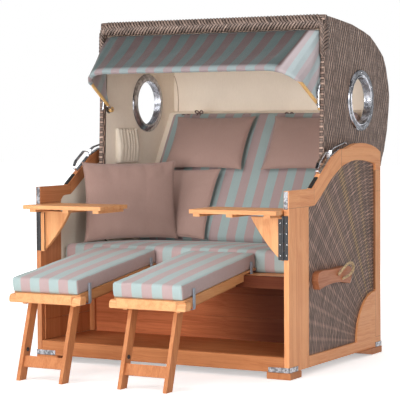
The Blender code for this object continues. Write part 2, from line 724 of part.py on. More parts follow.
def opened(loop_back, thick, side_low):
    """A cavity that follows a back line at a wall's thickness and runs out through the front and the bottom."""
    ahead = HOOD_FRONT - RIM_DEPTH
    closed = [(ahead, loop_back[0][1]), *loop_back, (ahead, loop_back[-1][1])]
    inner = offset(closed, -thick)[1:-1]
    foot = inner[0]
    slope = (inner[1][0] - foot[0]) / (inner[1][1] - foot[1])
    low = side_low - CUT_OVERRUN
    drop_y = foot[0] - slope * (foot[1] - low)
    return [(ahead, low), (drop_y, low), *inner[1:], (ahead, inner[-1][1])]


def hollow_hood(name, back_line, half, wall, back_wall, side_low, kind):
    """A hood of two sides, a back and a top, open at the front and the bottom."""
    start = RIM_DEPTH + SEAT_GAP
    top = back_line[-1]
    front_top = (front_y(top[1]) + start, top[1])
    corner = [(front_y(RIM_FOOT) + start, RIM_FOOT), (front_y(RIM_FOOT) + start * 1.6, (RIM_FOOT + side_low) / 2)]
    outline = [(HOOD_SIDE_FRONT_FOOT, side_low), *back_line, front_top, *corner]
    shell = prism(name, [outline], -half, half, PLANE_SIDE, kind)
    cavity = prism("cavity", [opened(back_line, back_wall, side_low)], wall - half, half - wall, PLANE_SIDE, kind)
    hole = cylinder("porthole", (-BASE_WIDTH, PORTHOLE_Y, PORTHOLE_Z), (BASE_WIDTH, PORTHOLE_Y, PORTHOLE_Z),
                    PORTHOLE_HOLE, kind, PORTHOLE_STEPS)
    bolt = cylinder("bolt_hole", (-BASE_WIDTH, PIVOT_Y, PIVOT_Z), (BASE_WIDTH, PIVOT_Y, PIVOT_Z),
                    PIVOT_RADIUS + PIVOT_CLEAR / 2, kind)
    return merge(shell, [cavity, hole, bolt], "DIFFERENCE")


def liner_back_line():
    """The liner's back: it follows the cushion's lean, stands upright behind the head and meets the top."""
    gap = SHELL_THICK + SEAT_GAP
    shell = offset([(HOOD_FRONT, HOOD_SIDE_BOTTOM), *hood_back_line()], -gap)
    wall = LINER_WALL_REAR + LINER_BACK_THICK
    top = [(y, z) for y, z in shell[2:] if y < wall - LINER_BACK_THICK * 2 and z > PORTHOLE_Z]
    low = HOOD_SIDE_BOTTOM + LINER_BACK_THICK
    knee = BACK_TOP_Z + LINER_BACK_THICK
    foot = PIVOT_Y + BEARER_THICK
    ledge = wall - LINER_LEDGE
    bend = knee - (ledge - foot) / RECLINE_SLOPE
    return [(foot, low), (foot, bend), (ledge, knee), (wall, knee + LINER_BACK_THICK),
            (wall, top[0][1] - LINER_TOP_GAP * 2), *top]


def hood():
    """Wicker shell, plaited rim, cloth liner, porthole rings, pocket and pivot bolts."""
    shell = hollow_hood("hood_shell", hood_back_line(), HOOD_HALF, SHELL_THICK, SHELL_THICK, HOOD_SIDE_BOTTOM, WICKER)
    smoothed(shell, math.radians(30))
    liner_outer = HOOD_HALF - SHELL_THICK - SEAT_GAP
    liner = hollow_hood("hood_liner", liner_back_line(), liner_outer, liner_outer - LINER_HALF, LINER_BACK_THICK,
                        HOOD_SIDE_BOTTOM + LINER_BACK_THICK, CREAM)
    rim_outer = HOOD_HALF + RIM_PROUD
    rim_inner = LINER_HALF + SEAT_GAP
    below = RIM_FOOT
    loop = [(-rim_outer, below), (-rim_inner, below), (-rim_inner, HOOD_TOP - RIM_DROP),
            (rim_inner, HOOD_TOP - RIM_DROP), (rim_inner, below), (rim_outer, below), (rim_outer, HOOD_TOP),
            (-rim_outer, HOOD_TOP)]
    rim = prism("hood_rim", [loop], HOOD_FRONT, HOOD_FRONT + RIM_DEPTH, PLANE_FRONT, WICKER)
    rounded(rim, RIM_DEPTH / 5, 2)
    for vertex in rim.data.vertices:
        vertex.co.y += HOOD_FRONT_LEAN * (vertex.co.z - LEAN_FROM)
    smoothed(rim)
    wall = -LINER_HALF + SEAT_GAP
    pocket = board("inner_pocket", (wall, POCKET_FRONT, POCKET_BOTTOM), (wall + POCKET_DEPTH, POCKET_REAR, POCKET_TOP),
                   CREAM, POCKET_WALL * 0.6)
    space = board("pocket_space", (wall + POCKET_WALL, POCKET_FRONT + POCKET_WALL, POCKET_BOTTOM + POCKET_WALL),
                  (wall + POCKET_DEPTH - POCKET_WALL, POCKET_REAR - POCKET_WALL, POCKET_TOP + CUT_OVERRUN), CREAM, 0)
    merge(pocket, [space], "DIFFERENCE")
    head_out = LINER_HALF - SEAT_GAP
    pivot = cylinder("hood_pivot", (head_out - PIVOT_RADIUS / 2, PIVOT_Y, PIVOT_Z),
                     (INNER_FACE - PIVOT_CLEAR, PIVOT_Y, PIVOT_Z), PIVOT_RADIUS, CHROME)
    head = cylinder("bolt_head", (head_out - PIVOT_RADIUS, PIVOT_Y, PIVOT_Z), (head_out, PIVOT_Y, PIVOT_Z),
                    PIVOT_RADIUS * 2, CHROME)
    merge(pivot, [head], "UNION")
    return [shell, liner, rim, pocket] + pair(porthole_ring(), "porthole_ring") + pair(pivot, "hood_pivot")


def porthole_ring():
    """A turned ring that lines a porthole: a flange outside and a sleeve through both shells."""
    inward = HOOD_HALF - LINER_HALF
    sleeve = PORTHOLE_HOLE - SEAT_GAP * 2
    soft = PORTHOLE_PROUD / 3
    lip = PORTHOLE_LIP
    profile = [(lip, -inward - PORTHOLE_PROUD / 2), (lip, -inward - SEAT_GAP),
               (sleeve, -inward - SEAT_GAP), (sleeve, SEAT_GAP),
               (PORTHOLE_FLANGE, SEAT_GAP), (PORTHOLE_FLANGE, PORTHOLE_PROUD / 2),
               (PORTHOLE_FLANGE - soft, PORTHOLE_PROUD), (PORTHOLE_OPENING + soft * 2, PORTHOLE_PROUD),
               (PORTHOLE_OPENING, PORTHOLE_PROUD / 2), (PORTHOLE_OPENING, -inward - PORTHOLE_PROUD / 2)]
    mesh = bpy.data.meshes.new("porthole_ring")
    edges = [(i, (i + 1) % len(profile)) for i in range(len(profile))]
    mesh.from_pydata([(radius, 0, along) for radius, along in profile], edges, [])
    ring = add("porthole_ring", mesh, CHROME)
    screw = ring.modifiers.new("turn", "SCREW")
    screw.steps = PORTHOLE_STEPS
    screw.render_steps = PORTHOLE_STEPS
    screw.use_merge_vertices = True
    screw.merge_threshold = 0.00001
    baked(ring)
    tidy(ring.data)
    ring.data.transform(Matrix.Translation((HOOD_HALF, PORTHOLE_Y, PORTHOLE_Z)) @ Matrix.Rotation(math.pi / 2, 4, "Y"))
    return smoothed(ring)


def soft_block(name, size, cuts, form, kind, levels=1):
    """A cushion: a coarse cage of the given size, cut at shares of its half size, shaped, then subdivided."""
    mesh = bpy.data.meshes.new(name)
    work = bmesh.new()
    bmesh.ops.create_cube(work, size=2)
    for axis, shares in enumerate(cuts):
        normal = [1 if axis == other else 0 for other in range(3)]
        for share in shares:
            everything = work.verts[:] + work.edges[:] + work.faces[:]
            bmesh.ops.bisect_plane(work, geom=everything, plane_co=[share * part for part in normal], plane_no=normal)
    for vertex in work.verts:
        shaped = form(*vertex.co)
        vertex.co = [part * whole / 2 for part, whole in zip(shaped, size)]
    work.to_mesh(mesh)
    work.free()
    piece = add(name, mesh, kind)
    surface = piece.modifiers.new("softness", "SUBSURF")
    surface.levels = levels
    surface.render_levels = levels
    baked(piece)
    return smoothed(piece, math.pi)


def place(piece, matrix):
    """Move a piece's mesh by a matrix."""
    piece.data.transform(matrix)
    piece.data.update()
    return piece


def seated(piece, support, direction, gap=SEAT_GAP):
    """Slide a piece along a direction until it lies a gap away from its support."""
    tree = tree_of(support)
    own = tree_of(piece)
    run = Vector(direction).normalized()
    distances = []
    for vertex in piece.data.vertices:
        hit = tree.ray_cast(vertex.co, run)
        if hit[0]:
            distances.append(hit[3])
    for vertex in support.data.vertices:
        hit = own.ray_cast(vertex.co, -run)
        if hit[0]:
            distances.append(hit[3])
    if distances:
        place(piece, Matrix.Translation(run * (min(distances) - gap)))
    return piece


def tree_of(piece):
    """A search tree over a piece's triangles."""
    work = bmesh.new()
    work.from_mesh(piece.data)
    tree = BVHTree.FromBMesh(work)
    work.free()
    return tree


def lens(edge_share, pinch):
    """A cushion form that is thick in the middle, thin at its edges and drawn in between its corners."""
    def form(x, y, z):
        thick = edge_share + (1 - edge_share) * math.sqrt(max(0, (1 - x ** 2) * (1 - z ** 2)) ** 0.8)
        return (x * (1 - pinch * (1 - z ** 2) * abs(x)), y * thick, z * (1 - pinch * (1 - x ** 2) * abs(z)))
    return form


def crowned(crown_share, pinch, back_share=0):
    """A cushion form with a crowned front, or top, and sides that are drawn in halfway up."""
    def form(x, y, z):
        swell = max(0, (1 - x ** 2)) * max(0, (1 - z ** 2))
        bulge = -crown_share * swell if y < 0 else back_share * swell
        waist = 1 - pinch * (1 - y ** 2)
        return (x * waist, y + bulge, z * waist)
    return form


def cushions(deck, liner):
    """Seat cushion, back cushion, head pillows and scatter cushions."""
    rim_cuts = (-0.9, -0.45, 0, 0.45, 0.9)
    long_cuts = (-0.94, -0.7, -0.35, 0, 0.35, 0.7, 0.94)
    thick_cuts = (-0.55, 0.55)
    pillow_cuts = (-0.78, 0, 0.78)
    lean = math.atan(RECLINE_SLOPE)
    tilt = Matrix.Rotation(-lean, 4, "X")
    flat = Matrix.Rotation(-math.pi / 2, 4, "X")

    seat = soft_block("seat_cushion", (SEAT_HALF * 2, SEAT_THICK_FRONT, SEAT_REAR - SEAT_FRONT),
                      (long_cuts, thick_cuts, rim_cuts), crowned(CROWN / SEAT_THICK_FRONT, 0.006), STRIPED)
    place(seat, flat)
    fall = (SEAT_THICK_FRONT - SEAT_THICK_REAR) / (SEAT_REAR - SEAT_FRONT)
    for vertex in seat.data.vertices:
        if vertex.co.z > 0:
            vertex.co.z -= fall * (vertex.co.y + (SEAT_REAR - SEAT_FRONT) / 2)
    place(seat, Matrix.Translation((0, (SEAT_REAR + SEAT_FRONT) / 2, SEAT_RAIL_TOP + SEAT_THICK_FRONT)))
    seated(seat, deck, (0, 0, -1))

    long = (BACK_TOP_Z - BACK_FOOT_Z) / math.cos(lean)
    back = soft_block("back_cushion", (BACK_HALF * 2, BACK_THICK, long), (long_cuts, thick_cuts, rim_cuts),
                      crowned(CROWN / BACK_THICK, 0.006), STRIPED)
    middle = Vector((0, BACK_FOOT_Y, BACK_FOOT_Z)) + tilt @ Vector((0, BACK_THICK / 2, long / 2))
    place(back, Matrix.Translation(middle) @ tilt)
    seated(back, liner, tilt @ Vector((0, 1, 0)))

    made = [seat, back]
    for side, stem in ((-1, "left"), (1, "right")):
        pillow = soft_block("head_pillow_" + stem, (PILLOW_LENGTH, PILLOW_THICK, PILLOW_HEIGHT),
                            (pillow_cuts, (0,), pillow_cuts), lens(0.3, 0.05), MAUVE)
        up = (PILLOW_TOP_Z - BACK_FOOT_Z) / math.cos(lean) - PILLOW_HEIGHT / 2
        ahead = Vector((0, BACK_FOOT_Y, BACK_FOOT_Z)) + tilt @ Vector((0, -PILLOW_THICK, up))
        ahead.x = side * PILLOW_CENTRE + PILLOW_SHIFT
        place(pillow, Matrix.Translation(ahead) @ tilt)
        made.append(seated(pillow, back, tilt @ Vector((0, 1, 0))))

    rear = soft_block("scatter_cushion_rear", (SCATTER_REAR_LENGTH, SCATTER_REAR_THICK, SCATTER_HEIGHT),
                      (pillow_cuts, (0,), pillow_cuts), lens(0.25, 0.06), MAUVE)
    stand_z = SEAT_RAIL_TOP + SEAT_THICK_FRONT + SCATTER_HEIGHT / 2 + CROWN * 2
    lean_y = BACK_FOOT_Y - SCATTER_THICK
    rear_tilt = Matrix.Rotation(-math.radians(SCATTER_REAR_LEAN), 4, "X")
    place(rear, Matrix.Translation((SCATTER_INSET - SEAT_HALF, lean_y, stand_z)) @ rear_tilt)
    seated(rear, seat, (0, 0, -1))
    seated(rear, back, (0, 1, 0), SEAT_GAP * 2)
    made.append(rear)

    turn = Matrix.Rotation(math.radians(SCATTER_TURN), 4, "Z") @ Matrix.Rotation(math.radians(-SCATTER_LEAN), 4, "X")
    front = soft_block("scatter_cushion_front", (SCATTER_LENGTH, SCATTER_THICK, SCATTER_HEIGHT),
                       (pillow_cuts, (0,), pillow_cuts), lens(0.25, 0.06), MAUVE)
    scatter_x = -SEAT_HALF + SCATTER_LENGTH * 0.32
    scatter_y = SEAT_FRONT + SCATTER_LENGTH * 0.4
    place(front, Matrix.Translation((scatter_x, scatter_y, stand_z)) @ turn)
    seated(front, seat, (0, 0, -1))
    made.append(seated(front, rear, (0, 1, 0), SEAT_GAP * 2))
    return made


def awning_direction():
    """The bow's direction from its pivot to the bar, and its length."""
    run = Vector((AWNING_BAR_Y - AWNING_PIVOT_Y, AWNING_BAR_Z - AWNING_PIVOT_Z))
    return run.normalized(), run.length


def awning_bow():
    """A round bow with two arms that end in eyes."""
    run, reach = awning_direction()
    half = AWNING_ARM_X - AWNING_ROD * 1.5
    bend = arc((half - AWNING_CORNER, reach - AWNING_CORNER), AWNING_CORNER, 0, 90, 5)
    right = [(AWNING_ARM_X, AWNING_EYE - JOIN_OVERLAP), *bend]
    flat = right + [(-x, along) for x, along in right[::-1]]
    points = [(x, AWNING_PIVOT_Y + run.x * along, AWNING_PIVOT_Z + run.y * along) for x, along in flat]
    bow = tube("awning_bow", points, AWNING_ROD, WOOD, smooth=False)
    for side in (1, -1):
        inner = side * (AWNING_ARM_X - AWNING_EYE_WIDTH / 2)
        outer = side * (AWNING_ARM_X + AWNING_EYE_WIDTH / 2)
        eye = cylinder("eye", (inner, AWNING_PIVOT_Y, AWNING_PIVOT_Z), (outer, AWNING_PIVOT_Y, AWNING_PIVOT_Z),
                       AWNING_EYE, WOOD)
        merge(bow, [eye], "UNION")
    hole = cylinder("eye_hole", (-BASE_WIDTH, AWNING_PIVOT_Y, AWNING_PIVOT_Z),
                    (BASE_WIDTH, AWNING_PIVOT_Y, AWNING_PIVOT_Z), AWNING_EYE_HOLE, WOOD)
    return smoothed(merge(bow, [hole], "DIFFERENCE"))


def awning_brackets():
    """A curved plate with a pin on each inner side of the hood."""
    face = LINER_HALF - SEAT_GAP
    plate = cylinder("awning_bracket", (face - AWNING_PLATE_THICK, AWNING_PIVOT_Y, AWNING_PIVOT_Z),
                     (face, AWNING_PIVOT_Y, AWNING_PIVOT_Z), AWNING_PLATE, CHROME, 20)
    tip = AWNING_ARM_X - AWNING_EYE_WIDTH / 2 - AWNING_PIN / 2
    pin = cylinder("pin", (tip, AWNING_PIVOT_Y, AWNING_PIVOT_Z),
                   (face - AWNING_PLATE_THICK / 2, AWNING_PIVOT_Y, AWNING_PIVOT_Z), AWNING_PIN, CHROME, 12)
    return pair(merge(plate, [pin], "UNION"), "awning_bracket")


def bow_stations():
    """Points along the right half of the bow, from the arm's foot to the middle, with the hood points they serve."""
    run, reach = awning_direction()
    half = AWNING_ARM_X - AWNING_ROD * 1.5
    arm_top = reach - AWNING_CORNER
    top_z = CLOTH_TOP_Z
    side_top = CLOTH_SIDE_FOOT + (top_z - CLOTH_SIDE_FOOT) * 0.68
    side_x = LINER_HALF - CLOTH_THICK
    stations = []
    for share in (0.14, 0.42, 0.7):
        flat = (AWNING_ARM_X + (half - AWNING_ARM_X) * share, arm_top * share)
        stations.append((flat, (0, 1), (side_x, CLOTH_SIDE_FOOT + (side_top - CLOTH_SIDE_FOOT) * share)))
    corner_shares = ((1.0, 0.0), (1.0, 0.5), (0.985, 0.95), (0.93, 1.0), (0.86, 1.0), (0.79, 1.0))
    for step, (across, up) in enumerate(corner_shares):
        turn = math.pi / 2 * step / 5
        flat = (half - AWNING_CORNER * (1 - math.cos(turn)), arm_top + AWNING_CORNER * math.sin(turn))
        stations.append((flat, (-math.sin(turn), math.cos(turn)), (side_x * across, side_top + (top_z - side_top) * up)))
    straight = half - AWNING_CORNER
    for share in (0.8, 0.6, 0.4, 0.2, 0):
        stations.append(((straight * share, reach), (-1, 0), (side_x * 0.79 * share, top_z)))
    placed = []
    for (x, along), (tangent_x, tangent_run), (hood_x, hood_z) in stations:
        centre = Vector((x, AWNING_PIVOT_Y + run.x * along, AWNING_PIVOT_Z + run.y * along))
        tangent = Vector((tangent_x, run.x * tangent_run, run.y * tangent_run)).normalized()
        placed.append((centre, tangent, Vector((hood_x, front_y(hood_z) + RIM_DEPTH / 2, hood_z))))
    return placed


def awning_cloth():
    """A sheet from the hood's opening to the bow, which it wraps, with a gusset on each side."""
    clear = AWNING_ROD + CLOTH_THICK * 0.9
    rows = 6
    fold = CLOTH_THICK * 1.2
    right = []
    for centre, tangent, rear in bow_stations():
        fall = centre - rear
        fall = (fall - tangent * fall.dot(tangent)).normalized()
        out = tangent.cross(fall).normalized()
        lead = centre + out * clear
        section = []
        for row in range(rows + 1):
            share = row / rows
            section.append(rear.lerp(lead, share) - out * fold * math.sin(share * math.pi))
        section.append(centre + (out + fall).normalized() * clear)
        section.append(centre + fall * clear)
        section.append(centre + fall * clear - out * AWNING_ROD)
        right.append(section)
    left = [[Vector((-point.x, point.y, point.z)) for point in section] for section in right[-2::-1]]
    sections = right + left
    deep = len(sections[0])
    faces = []
    for number in range(len(sections) - 1):
        for row in range(deep - 1):
            first = number * deep + row
            faces.append((first, first + 1, first + deep + 1, first + deep))
    mesh = bpy.data.meshes.new("awning_cloth")
    mesh.from_pydata([point for section in sections for point in section], [], faces)
    cloth = add("awning_cloth", mesh, STRIPED)
    skin = cloth.modifiers.new("skin", "SOLIDIFY")
    skin.thickness = CLOTH_THICK
    skin.offset = 0
    baked(cloth)
    tidy(cloth.data)
    return smoothed(cloth, math.radians(60))


def tables():
    """Slatted table tops on bracket boards, each bracket with the moving leaf of its hinge."""
    under = TABLE_TOP - TABLE_THICK
    outline = [(TABLE_INNER, TABLE_FRONT), (TABLE_OUTER, TABLE_FRONT), (TABLE_OUTER, TABLE_FRONT + TABLE_CORNER_CUT),
               (TABLE_NOTCH, -TABLE_NOTCH_START), (TABLE_NOTCH, TABLE_REAR), (TABLE_INNER, TABLE_REAR)]
    top = prism("table_top", [outline], under, TABLE_TOP, PLANE_FLOOR, WOOD)
    slat = (TABLE_REAR - TABLE_FRONT) / TABLE_SLATS
    gaps = []
    for i in range(1, TABLE_SLATS):
        y = TABLE_FRONT + i * slat
        gaps.append(board("slat_gap%d" % i, (0, y - SLAT_GAP / 2, under - CUT_OVERRUN),
                          (BASE_WIDTH, y + SLAT_GAP / 2, TABLE_TOP + CUT_OVERRUN), WOOD, 0))
    low = under - BATTEN_HEIGHT
    inset = SLAT_GAP * 2
    battens = []
    middle = TABLE_NOTCH - BRACKET_REACH - BATTEN_WIDTH
    for i, x in enumerate((TABLE_INNER + inset * 2, middle - BATTEN_WIDTH, TABLE_NOTCH - BATTEN_WIDTH - inset)):
        battens.append(board("batten%d" % i, (x, TABLE_FRONT + inset, low),
                             (x + BATTEN_WIDTH, TABLE_REAR - inset, under + JOIN_OVERLAP), WOOD, 0))
    merge(top, gaps, "DIFFERENCE")
    merge(top, battens, "UNION")
    bracket_top = low - SEAT_GAP
    edge = HINGE_X - SEAT_GAP * 6
    inner = edge - BRACKET_REACH
    chord = Vector((edge - BRACKET_TIP - inner, BRACKET_FOOT - bracket_top))
    side = Vector((chord.y, -chord.x)).normalized()
    curve = []
    for i in range(9):
        share = i / 8
        bulge = BRACKET_BULGE * 4 * share * (1 - share)
        place_on = Vector((inner, bracket_top)) + chord * share + side * bulge
        curve.append(tuple(place_on))
    wood = prism("table_bracket", [[(edge, bracket_top), *curve, (edge, BRACKET_FOOT)]], 0, BRACKET_THICK, PLANE_FRONT,
                 WOOD)
    rounded(wood, EDGE_ROUND)
    leaf = hinge_leaf("table_hinge_leaf", 1, -1, HINGE_TOP - BATTEN_HEIGHT)
    return pair(top, "table_top") + pair(wood, "table_bracket") + pair(leaf, "table_hinge_leaf")


def board_underside(y):
    """Height of the underside of a footrest's board, which slopes up towards the seat."""
    return SEAT_RAIL_TOP + SEAT_GAP + FOOTREST_SLOPE * (y - SEAT_RAIL_FRONT)


def sloped(name, front, rear, low, high, left, right, kind):
    """A board that follows the footrest's slope; low and high are heights over the board's underside."""
    corners = [(front, board_underside(front) + low), (rear, board_underside(rear) + low),
               (rear, board_underside(rear) + high), (front, board_underside(front) + high)]
    return prism(name, [corners], left, right, PLANE_SIDE, kind)


def footrest(centre, stem):
    """A footrest: board on a frame with runners, a pad, and a leg frame that folds up between the runners."""
    half = FOOTREST_WIDTH / 2
    low = -FOOTREST_RAIL_HEIGHT
    frame_rear = SEAT_RAIL_FRONT - SEAT_GAP
    bevel = FOOTREST_BEVEL
    front = FOOTREST_FRONT
    deck = [(-half, FOOTREST_REAR), (-half, front + bevel), (bevel - half, front), (half - bevel, front),
            (half, front + bevel), (half, FOOTREST_REAR)]
    plan = [(centre + x, y) for x, y in deck]
    frame = prism("footrest_frame_" + stem, [plan], 0, FOOTREST_BOARD, PLANE_FLOOR, WOOD)
    for vertex in frame.data.vertices:
        vertex.co.z += board_underside(vertex.co.y)
    skirt_plan = [(centre - half, frame_rear), (centre - half, front + bevel), (centre + bevel - half, front),
                  (centre + half - bevel, front), (centre + half, front + bevel), (centre + half, frame_rear)]
    inner = half - FOOTREST_RAIL_THICK
    inner_plan = [(centre - inner, frame_rear - FOOTREST_RAIL_THICK), (centre - inner, front + bevel),
                  (centre + bevel - inner, front + FOOTREST_RAIL_THICK),
                  (centre + inner - bevel, front + FOOTREST_RAIL_THICK), (centre + inner, front + bevel),
                  (centre + inner, frame_rear - FOOTREST_RAIL_THICK)]
    skirt = prism("skirt", [skirt_plan, inner_plan], low, JOIN_OVERLAP, PLANE_FLOOR, WOOD)
    for vertex in skirt.data.vertices:
        vertex.co.z += board_underside(vertex.co.y)
    runners = []
    for side in (-1, 1):
        near = centre + side * (LEG_OUTER + SEAT_GAP)
        far = near + side * RUNNER_THICK
        runners.append(sloped("runner", RUNNER_FRONT, RUNNER_REAR, -RUNNER_HEIGHT, JOIN_OVERLAP, min(near, far),
                              max(near, far), WOOD))
    merge(frame, [skirt, *runners], "UNION")
    pin_hole = cylinder("pin_hole", (centre - half * 0.9, LEG_HINGE_Y, LEG_HINGE_Z),
                        (centre + half * 0.9, LEG_HINGE_Y, LEG_HINGE_Z), LEG_PIN_HOLE, WOOD)
    merge(frame, [pin_hole], "DIFFERENCE")

    pad = soft_block("footrest_pad_" + stem, (FOOTREST_WIDTH - CROWN / 2, PAD_THICK, FOOTREST_REAR - FOOTREST_FRONT),
                     ((-0.9, -0.4, 0.4, 0.9), (-0.6, 0.6), (-0.95, -0.6, -0.2, 0.2, 0.6, 0.95)),
                     crowned(CROWN / 2 / PAD_THICK, 0.01), STRIPED)
    slope = Matrix.Rotation(math.atan(FOOTREST_SLOPE), 4, "X")
    place(pad, slope @ Matrix.Rotation(-math.pi / 2, 4, "X"))
    middle_y = (FOOTREST_FRONT + FOOTREST_REAR) / 2
    place(pad, Matrix.Translation((centre, middle_y, board_underside(middle_y) + FOOTREST_BOARD + PAD_THICK)))
    seated(pad, frame, slope @ Vector((0, 0, -1)))
    return [frame, pad], [leg_frame(centre, stem)]


def leg_frame(centre, stem):
    """Two round-ended legs with a stretcher, hinged on pins between the runners."""
    hinge = Vector((LEG_HINGE_Y, LEG_HINGE_Z))
    run = (Vector((LEG_FOOT_Y, 0)) - hinge).normalized()
    side = Vector((-run.y, run.x))
    half = LEG_WIDTH / 2
    start = math.degrees(math.atan2(side.y, side.x))
    head = arc(hinge, half, start, start + 180, 8)
    toes = [end + run * (-end.y / run.y) for end in (hinge - side * half, hinge + side * half)]
    outline = [*head, *(tuple(toe) for toe in toes)]
    legs = []
    for which in (-1, 1):
        near = centre + which * (LEG_OUTER - LEG_THICK)
        far = centre + which * LEG_OUTER
        legs.append(prism("leg", [outline], min(near, far), max(near, far), PLANE_SIDE, WOOD))
    reach = LEG_OUTER - LEG_THICK + JOIN_OVERLAP
    low = hinge + run * ((STRETCHER_LOW - hinge.y) / run.y)
    high = hinge + run * ((STRETCHER_HIGH - hinge.y) / run.y)
    across = side * STRETCHER_THICK / 2
    bar = [tuple(low - across), tuple(low + across), tuple(high + across), tuple(high - across)]
    stretcher = prism("leg_frame_" + stem, [bar], centre - reach, centre + reach, PLANE_SIDE, WOOD)
    pins = []
    for which in (-1, 1):
        root = centre + which * (LEG_OUTER - LEG_THICK / 2)
        end = centre + which * (LEG_OUTER + RUNNER_THICK * 0.8)
        pins.append(cylinder("leg_pin", (root, LEG_HINGE_Y, LEG_HINGE_Z), (end, LEG_HINGE_Y, LEG_HINGE_Z), LEG_PIN,
                             CHROME))
    return merge(stretcher, [*legs, *pins], "UNION")


def body(name, place_at, pieces, parent):
    """An empty on a joint's axis that carries the pieces of one moving body."""
    empty = bpy.data.objects.new(name, None)
    PARTS.objects.link(empty)
    empty.parent = parent
    above = Vector((0, 0, 0))
    while parent:
        above += parent.location
        parent = parent.parent
    empty.location = Vector(place_at) - above
    for piece in pieces:
        piece.data.transform(Matrix.Translation(-Vector(place_at)))
        piece.parent = empty
    return empty


def centred(root):
    """Move the whole chair so that the origin lies on the floor under its middle."""
    bpy.context.view_layer.update()
    corners = [piece.matrix_world @ Vector(corner) for piece in PARTS.objects if piece.type == "MESH"
               for corner in piece.bound_box]
    for axis in (0, 1):
        values = [corner[axis] for corner in corners]
        root.location[axis] = -(min(values) + max(values)) / 2
    root.location.z = -min(corner.z for corner in corners)
    print("moved by", [round(value, 5) for value in root.location])


def assemble():
    """Build every piece and hang it on its body."""
    base = side_frames() + feet() + base_boards() + cap_plates() + catch_rails() + carry_handles() + table_hinges()
    hood_pieces = hood()
    named = {piece.name: piece for piece in base + hood_pieces}
    seat, back, pillow_left, pillow_right, rear, front = cushions(named["seat_deck"], named["hood_liner"])
    base += [seat, rear, front]
    hood_pieces += [back, pillow_left, pillow_right] + awning_brackets() + [awning_cloth()]

    root = body("beach_chair", (0, 0, 0), base, None)
    hood_body = body("hood", (0, PIVOT_Y, PIVOT_Z), hood_pieces, root)
    body("awning", (0, AWNING_PIVOT_Y, AWNING_PIVOT_Z), [awning_bow()], hood_body)
    moving = tables()
    for side, stem in ((1, "right"), (-1, "left")):
        own = [piece for piece in moving if piece.name.endswith(stem)]
        body("table_" + stem, (side * HINGE_X, HINGE_Y, 0), own, root)
        centre = side * FOOTREST_CENTRE + FOOTREST_SHIFT
        sliding, legs = footrest(centre, stem)
        carrier = body("footrest_" + stem, (centre, FOOTREST_FRONT, 0), sliding, root)
        body("legs_" + stem, (centre, LEG_HINGE_Y, LEG_HINGE_Z), legs, carrier)
    centred(root)


clear_scene()
PARTS = new_collection("hooded_beach_chair")
assemble()
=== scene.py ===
"""A hooded beach chair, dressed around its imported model.

Lengths are metres. Points are written from the front face of the side frames, as they were measured, and `at`
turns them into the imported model's own frame.
"""

import logging
import math
from dataclasses import dataclass, field
from enum import Enum
from typing import ClassVar

import bmesh
import bpy
import numpy as np
from mathutils import Matrix, Vector, noise


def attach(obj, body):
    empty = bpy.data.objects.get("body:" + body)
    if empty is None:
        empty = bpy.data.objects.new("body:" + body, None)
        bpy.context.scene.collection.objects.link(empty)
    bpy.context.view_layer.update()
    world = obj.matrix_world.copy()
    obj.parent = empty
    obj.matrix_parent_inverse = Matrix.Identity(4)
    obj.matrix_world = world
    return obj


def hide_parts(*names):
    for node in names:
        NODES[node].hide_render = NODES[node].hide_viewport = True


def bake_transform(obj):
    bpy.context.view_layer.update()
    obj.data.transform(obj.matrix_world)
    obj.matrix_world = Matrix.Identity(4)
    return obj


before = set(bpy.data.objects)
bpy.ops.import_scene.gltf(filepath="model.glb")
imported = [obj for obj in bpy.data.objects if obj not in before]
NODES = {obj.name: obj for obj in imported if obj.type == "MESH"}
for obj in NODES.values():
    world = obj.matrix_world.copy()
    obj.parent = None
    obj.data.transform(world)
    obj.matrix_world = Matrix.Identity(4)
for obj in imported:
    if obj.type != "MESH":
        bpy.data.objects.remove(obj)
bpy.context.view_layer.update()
LOG = logging.getLogger("hooded_beach_chair")
DEPTH_SHIFT = 0.36246
FAR = 9.0
PAD_SLOPE = 0.134
Colour = tuple[float, float, float]
Point = tuple[float, float, float]
RIGHT, BACK, UP = Vector((1, 0, 0)), Vector((0, 1, 0)), Vector((0, 0, 1))
FRONT = -BACK


def at(x: float, y: float, z: float) -> Vector:
    """A measured point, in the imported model's frame."""
    return Vector((x, y - DEPTH_SHIFT, z))


class Side(Enum):
    """The two sides of the chair, as seen from the front."""

    LEFT = -1
    RIGHT = 1

    @property
    def word(self) -> str:
        """The side's name, as the nodes have it."""
        return self.name.lower()


def darker(colour: Colour, share: float) -> Colour:
    """A colour, down to a share of itself."""
    return tuple(part * share for part in colour)


class Value:
    """A number, vector or colour that a node gives, with the usual operators for numbers."""

    def __init__(self, graph: "Graph", socket: bpy.types.NodeSocket) -> None:
        """Wraps a node's output."""
        self.graph, self.socket = graph, socket

    def __add__(self, other: object) -> "Value":
        """The sum."""
        return self.graph.math("ADD", self, other)

    def __sub__(self, other: object) -> "Value":
        """The difference."""
        return self.graph.math("SUBTRACT", self, other)

    def __rsub__(self, other: object) -> "Value":
        """The difference from a constant."""
        return self.graph.math("SUBTRACT", other, self)

    def __mul__(self, other: object) -> "Value":
        """The product."""
        return self.graph.math("MULTIPLY", self, other)

    def __truediv__(self, other: object) -> "Value":
        """The quotient."""
        return self.graph.math("DIVIDE", self, other)

    def __gt__(self, other: object) -> "Value":
        """1 where it is larger, else 0."""
        return self.graph.math("GREATER_THAN", self, other)

    def __lt__(self, other: object) -> "Value":
        """1 where it is smaller, else 0."""
        return self.graph.math("LESS_THAN", self, other)

    def __abs__(self) -> "Value":
        """The number without its sign."""
        return self.graph.math("ABSOLUTE", self)

    __rmul__ = __mul__


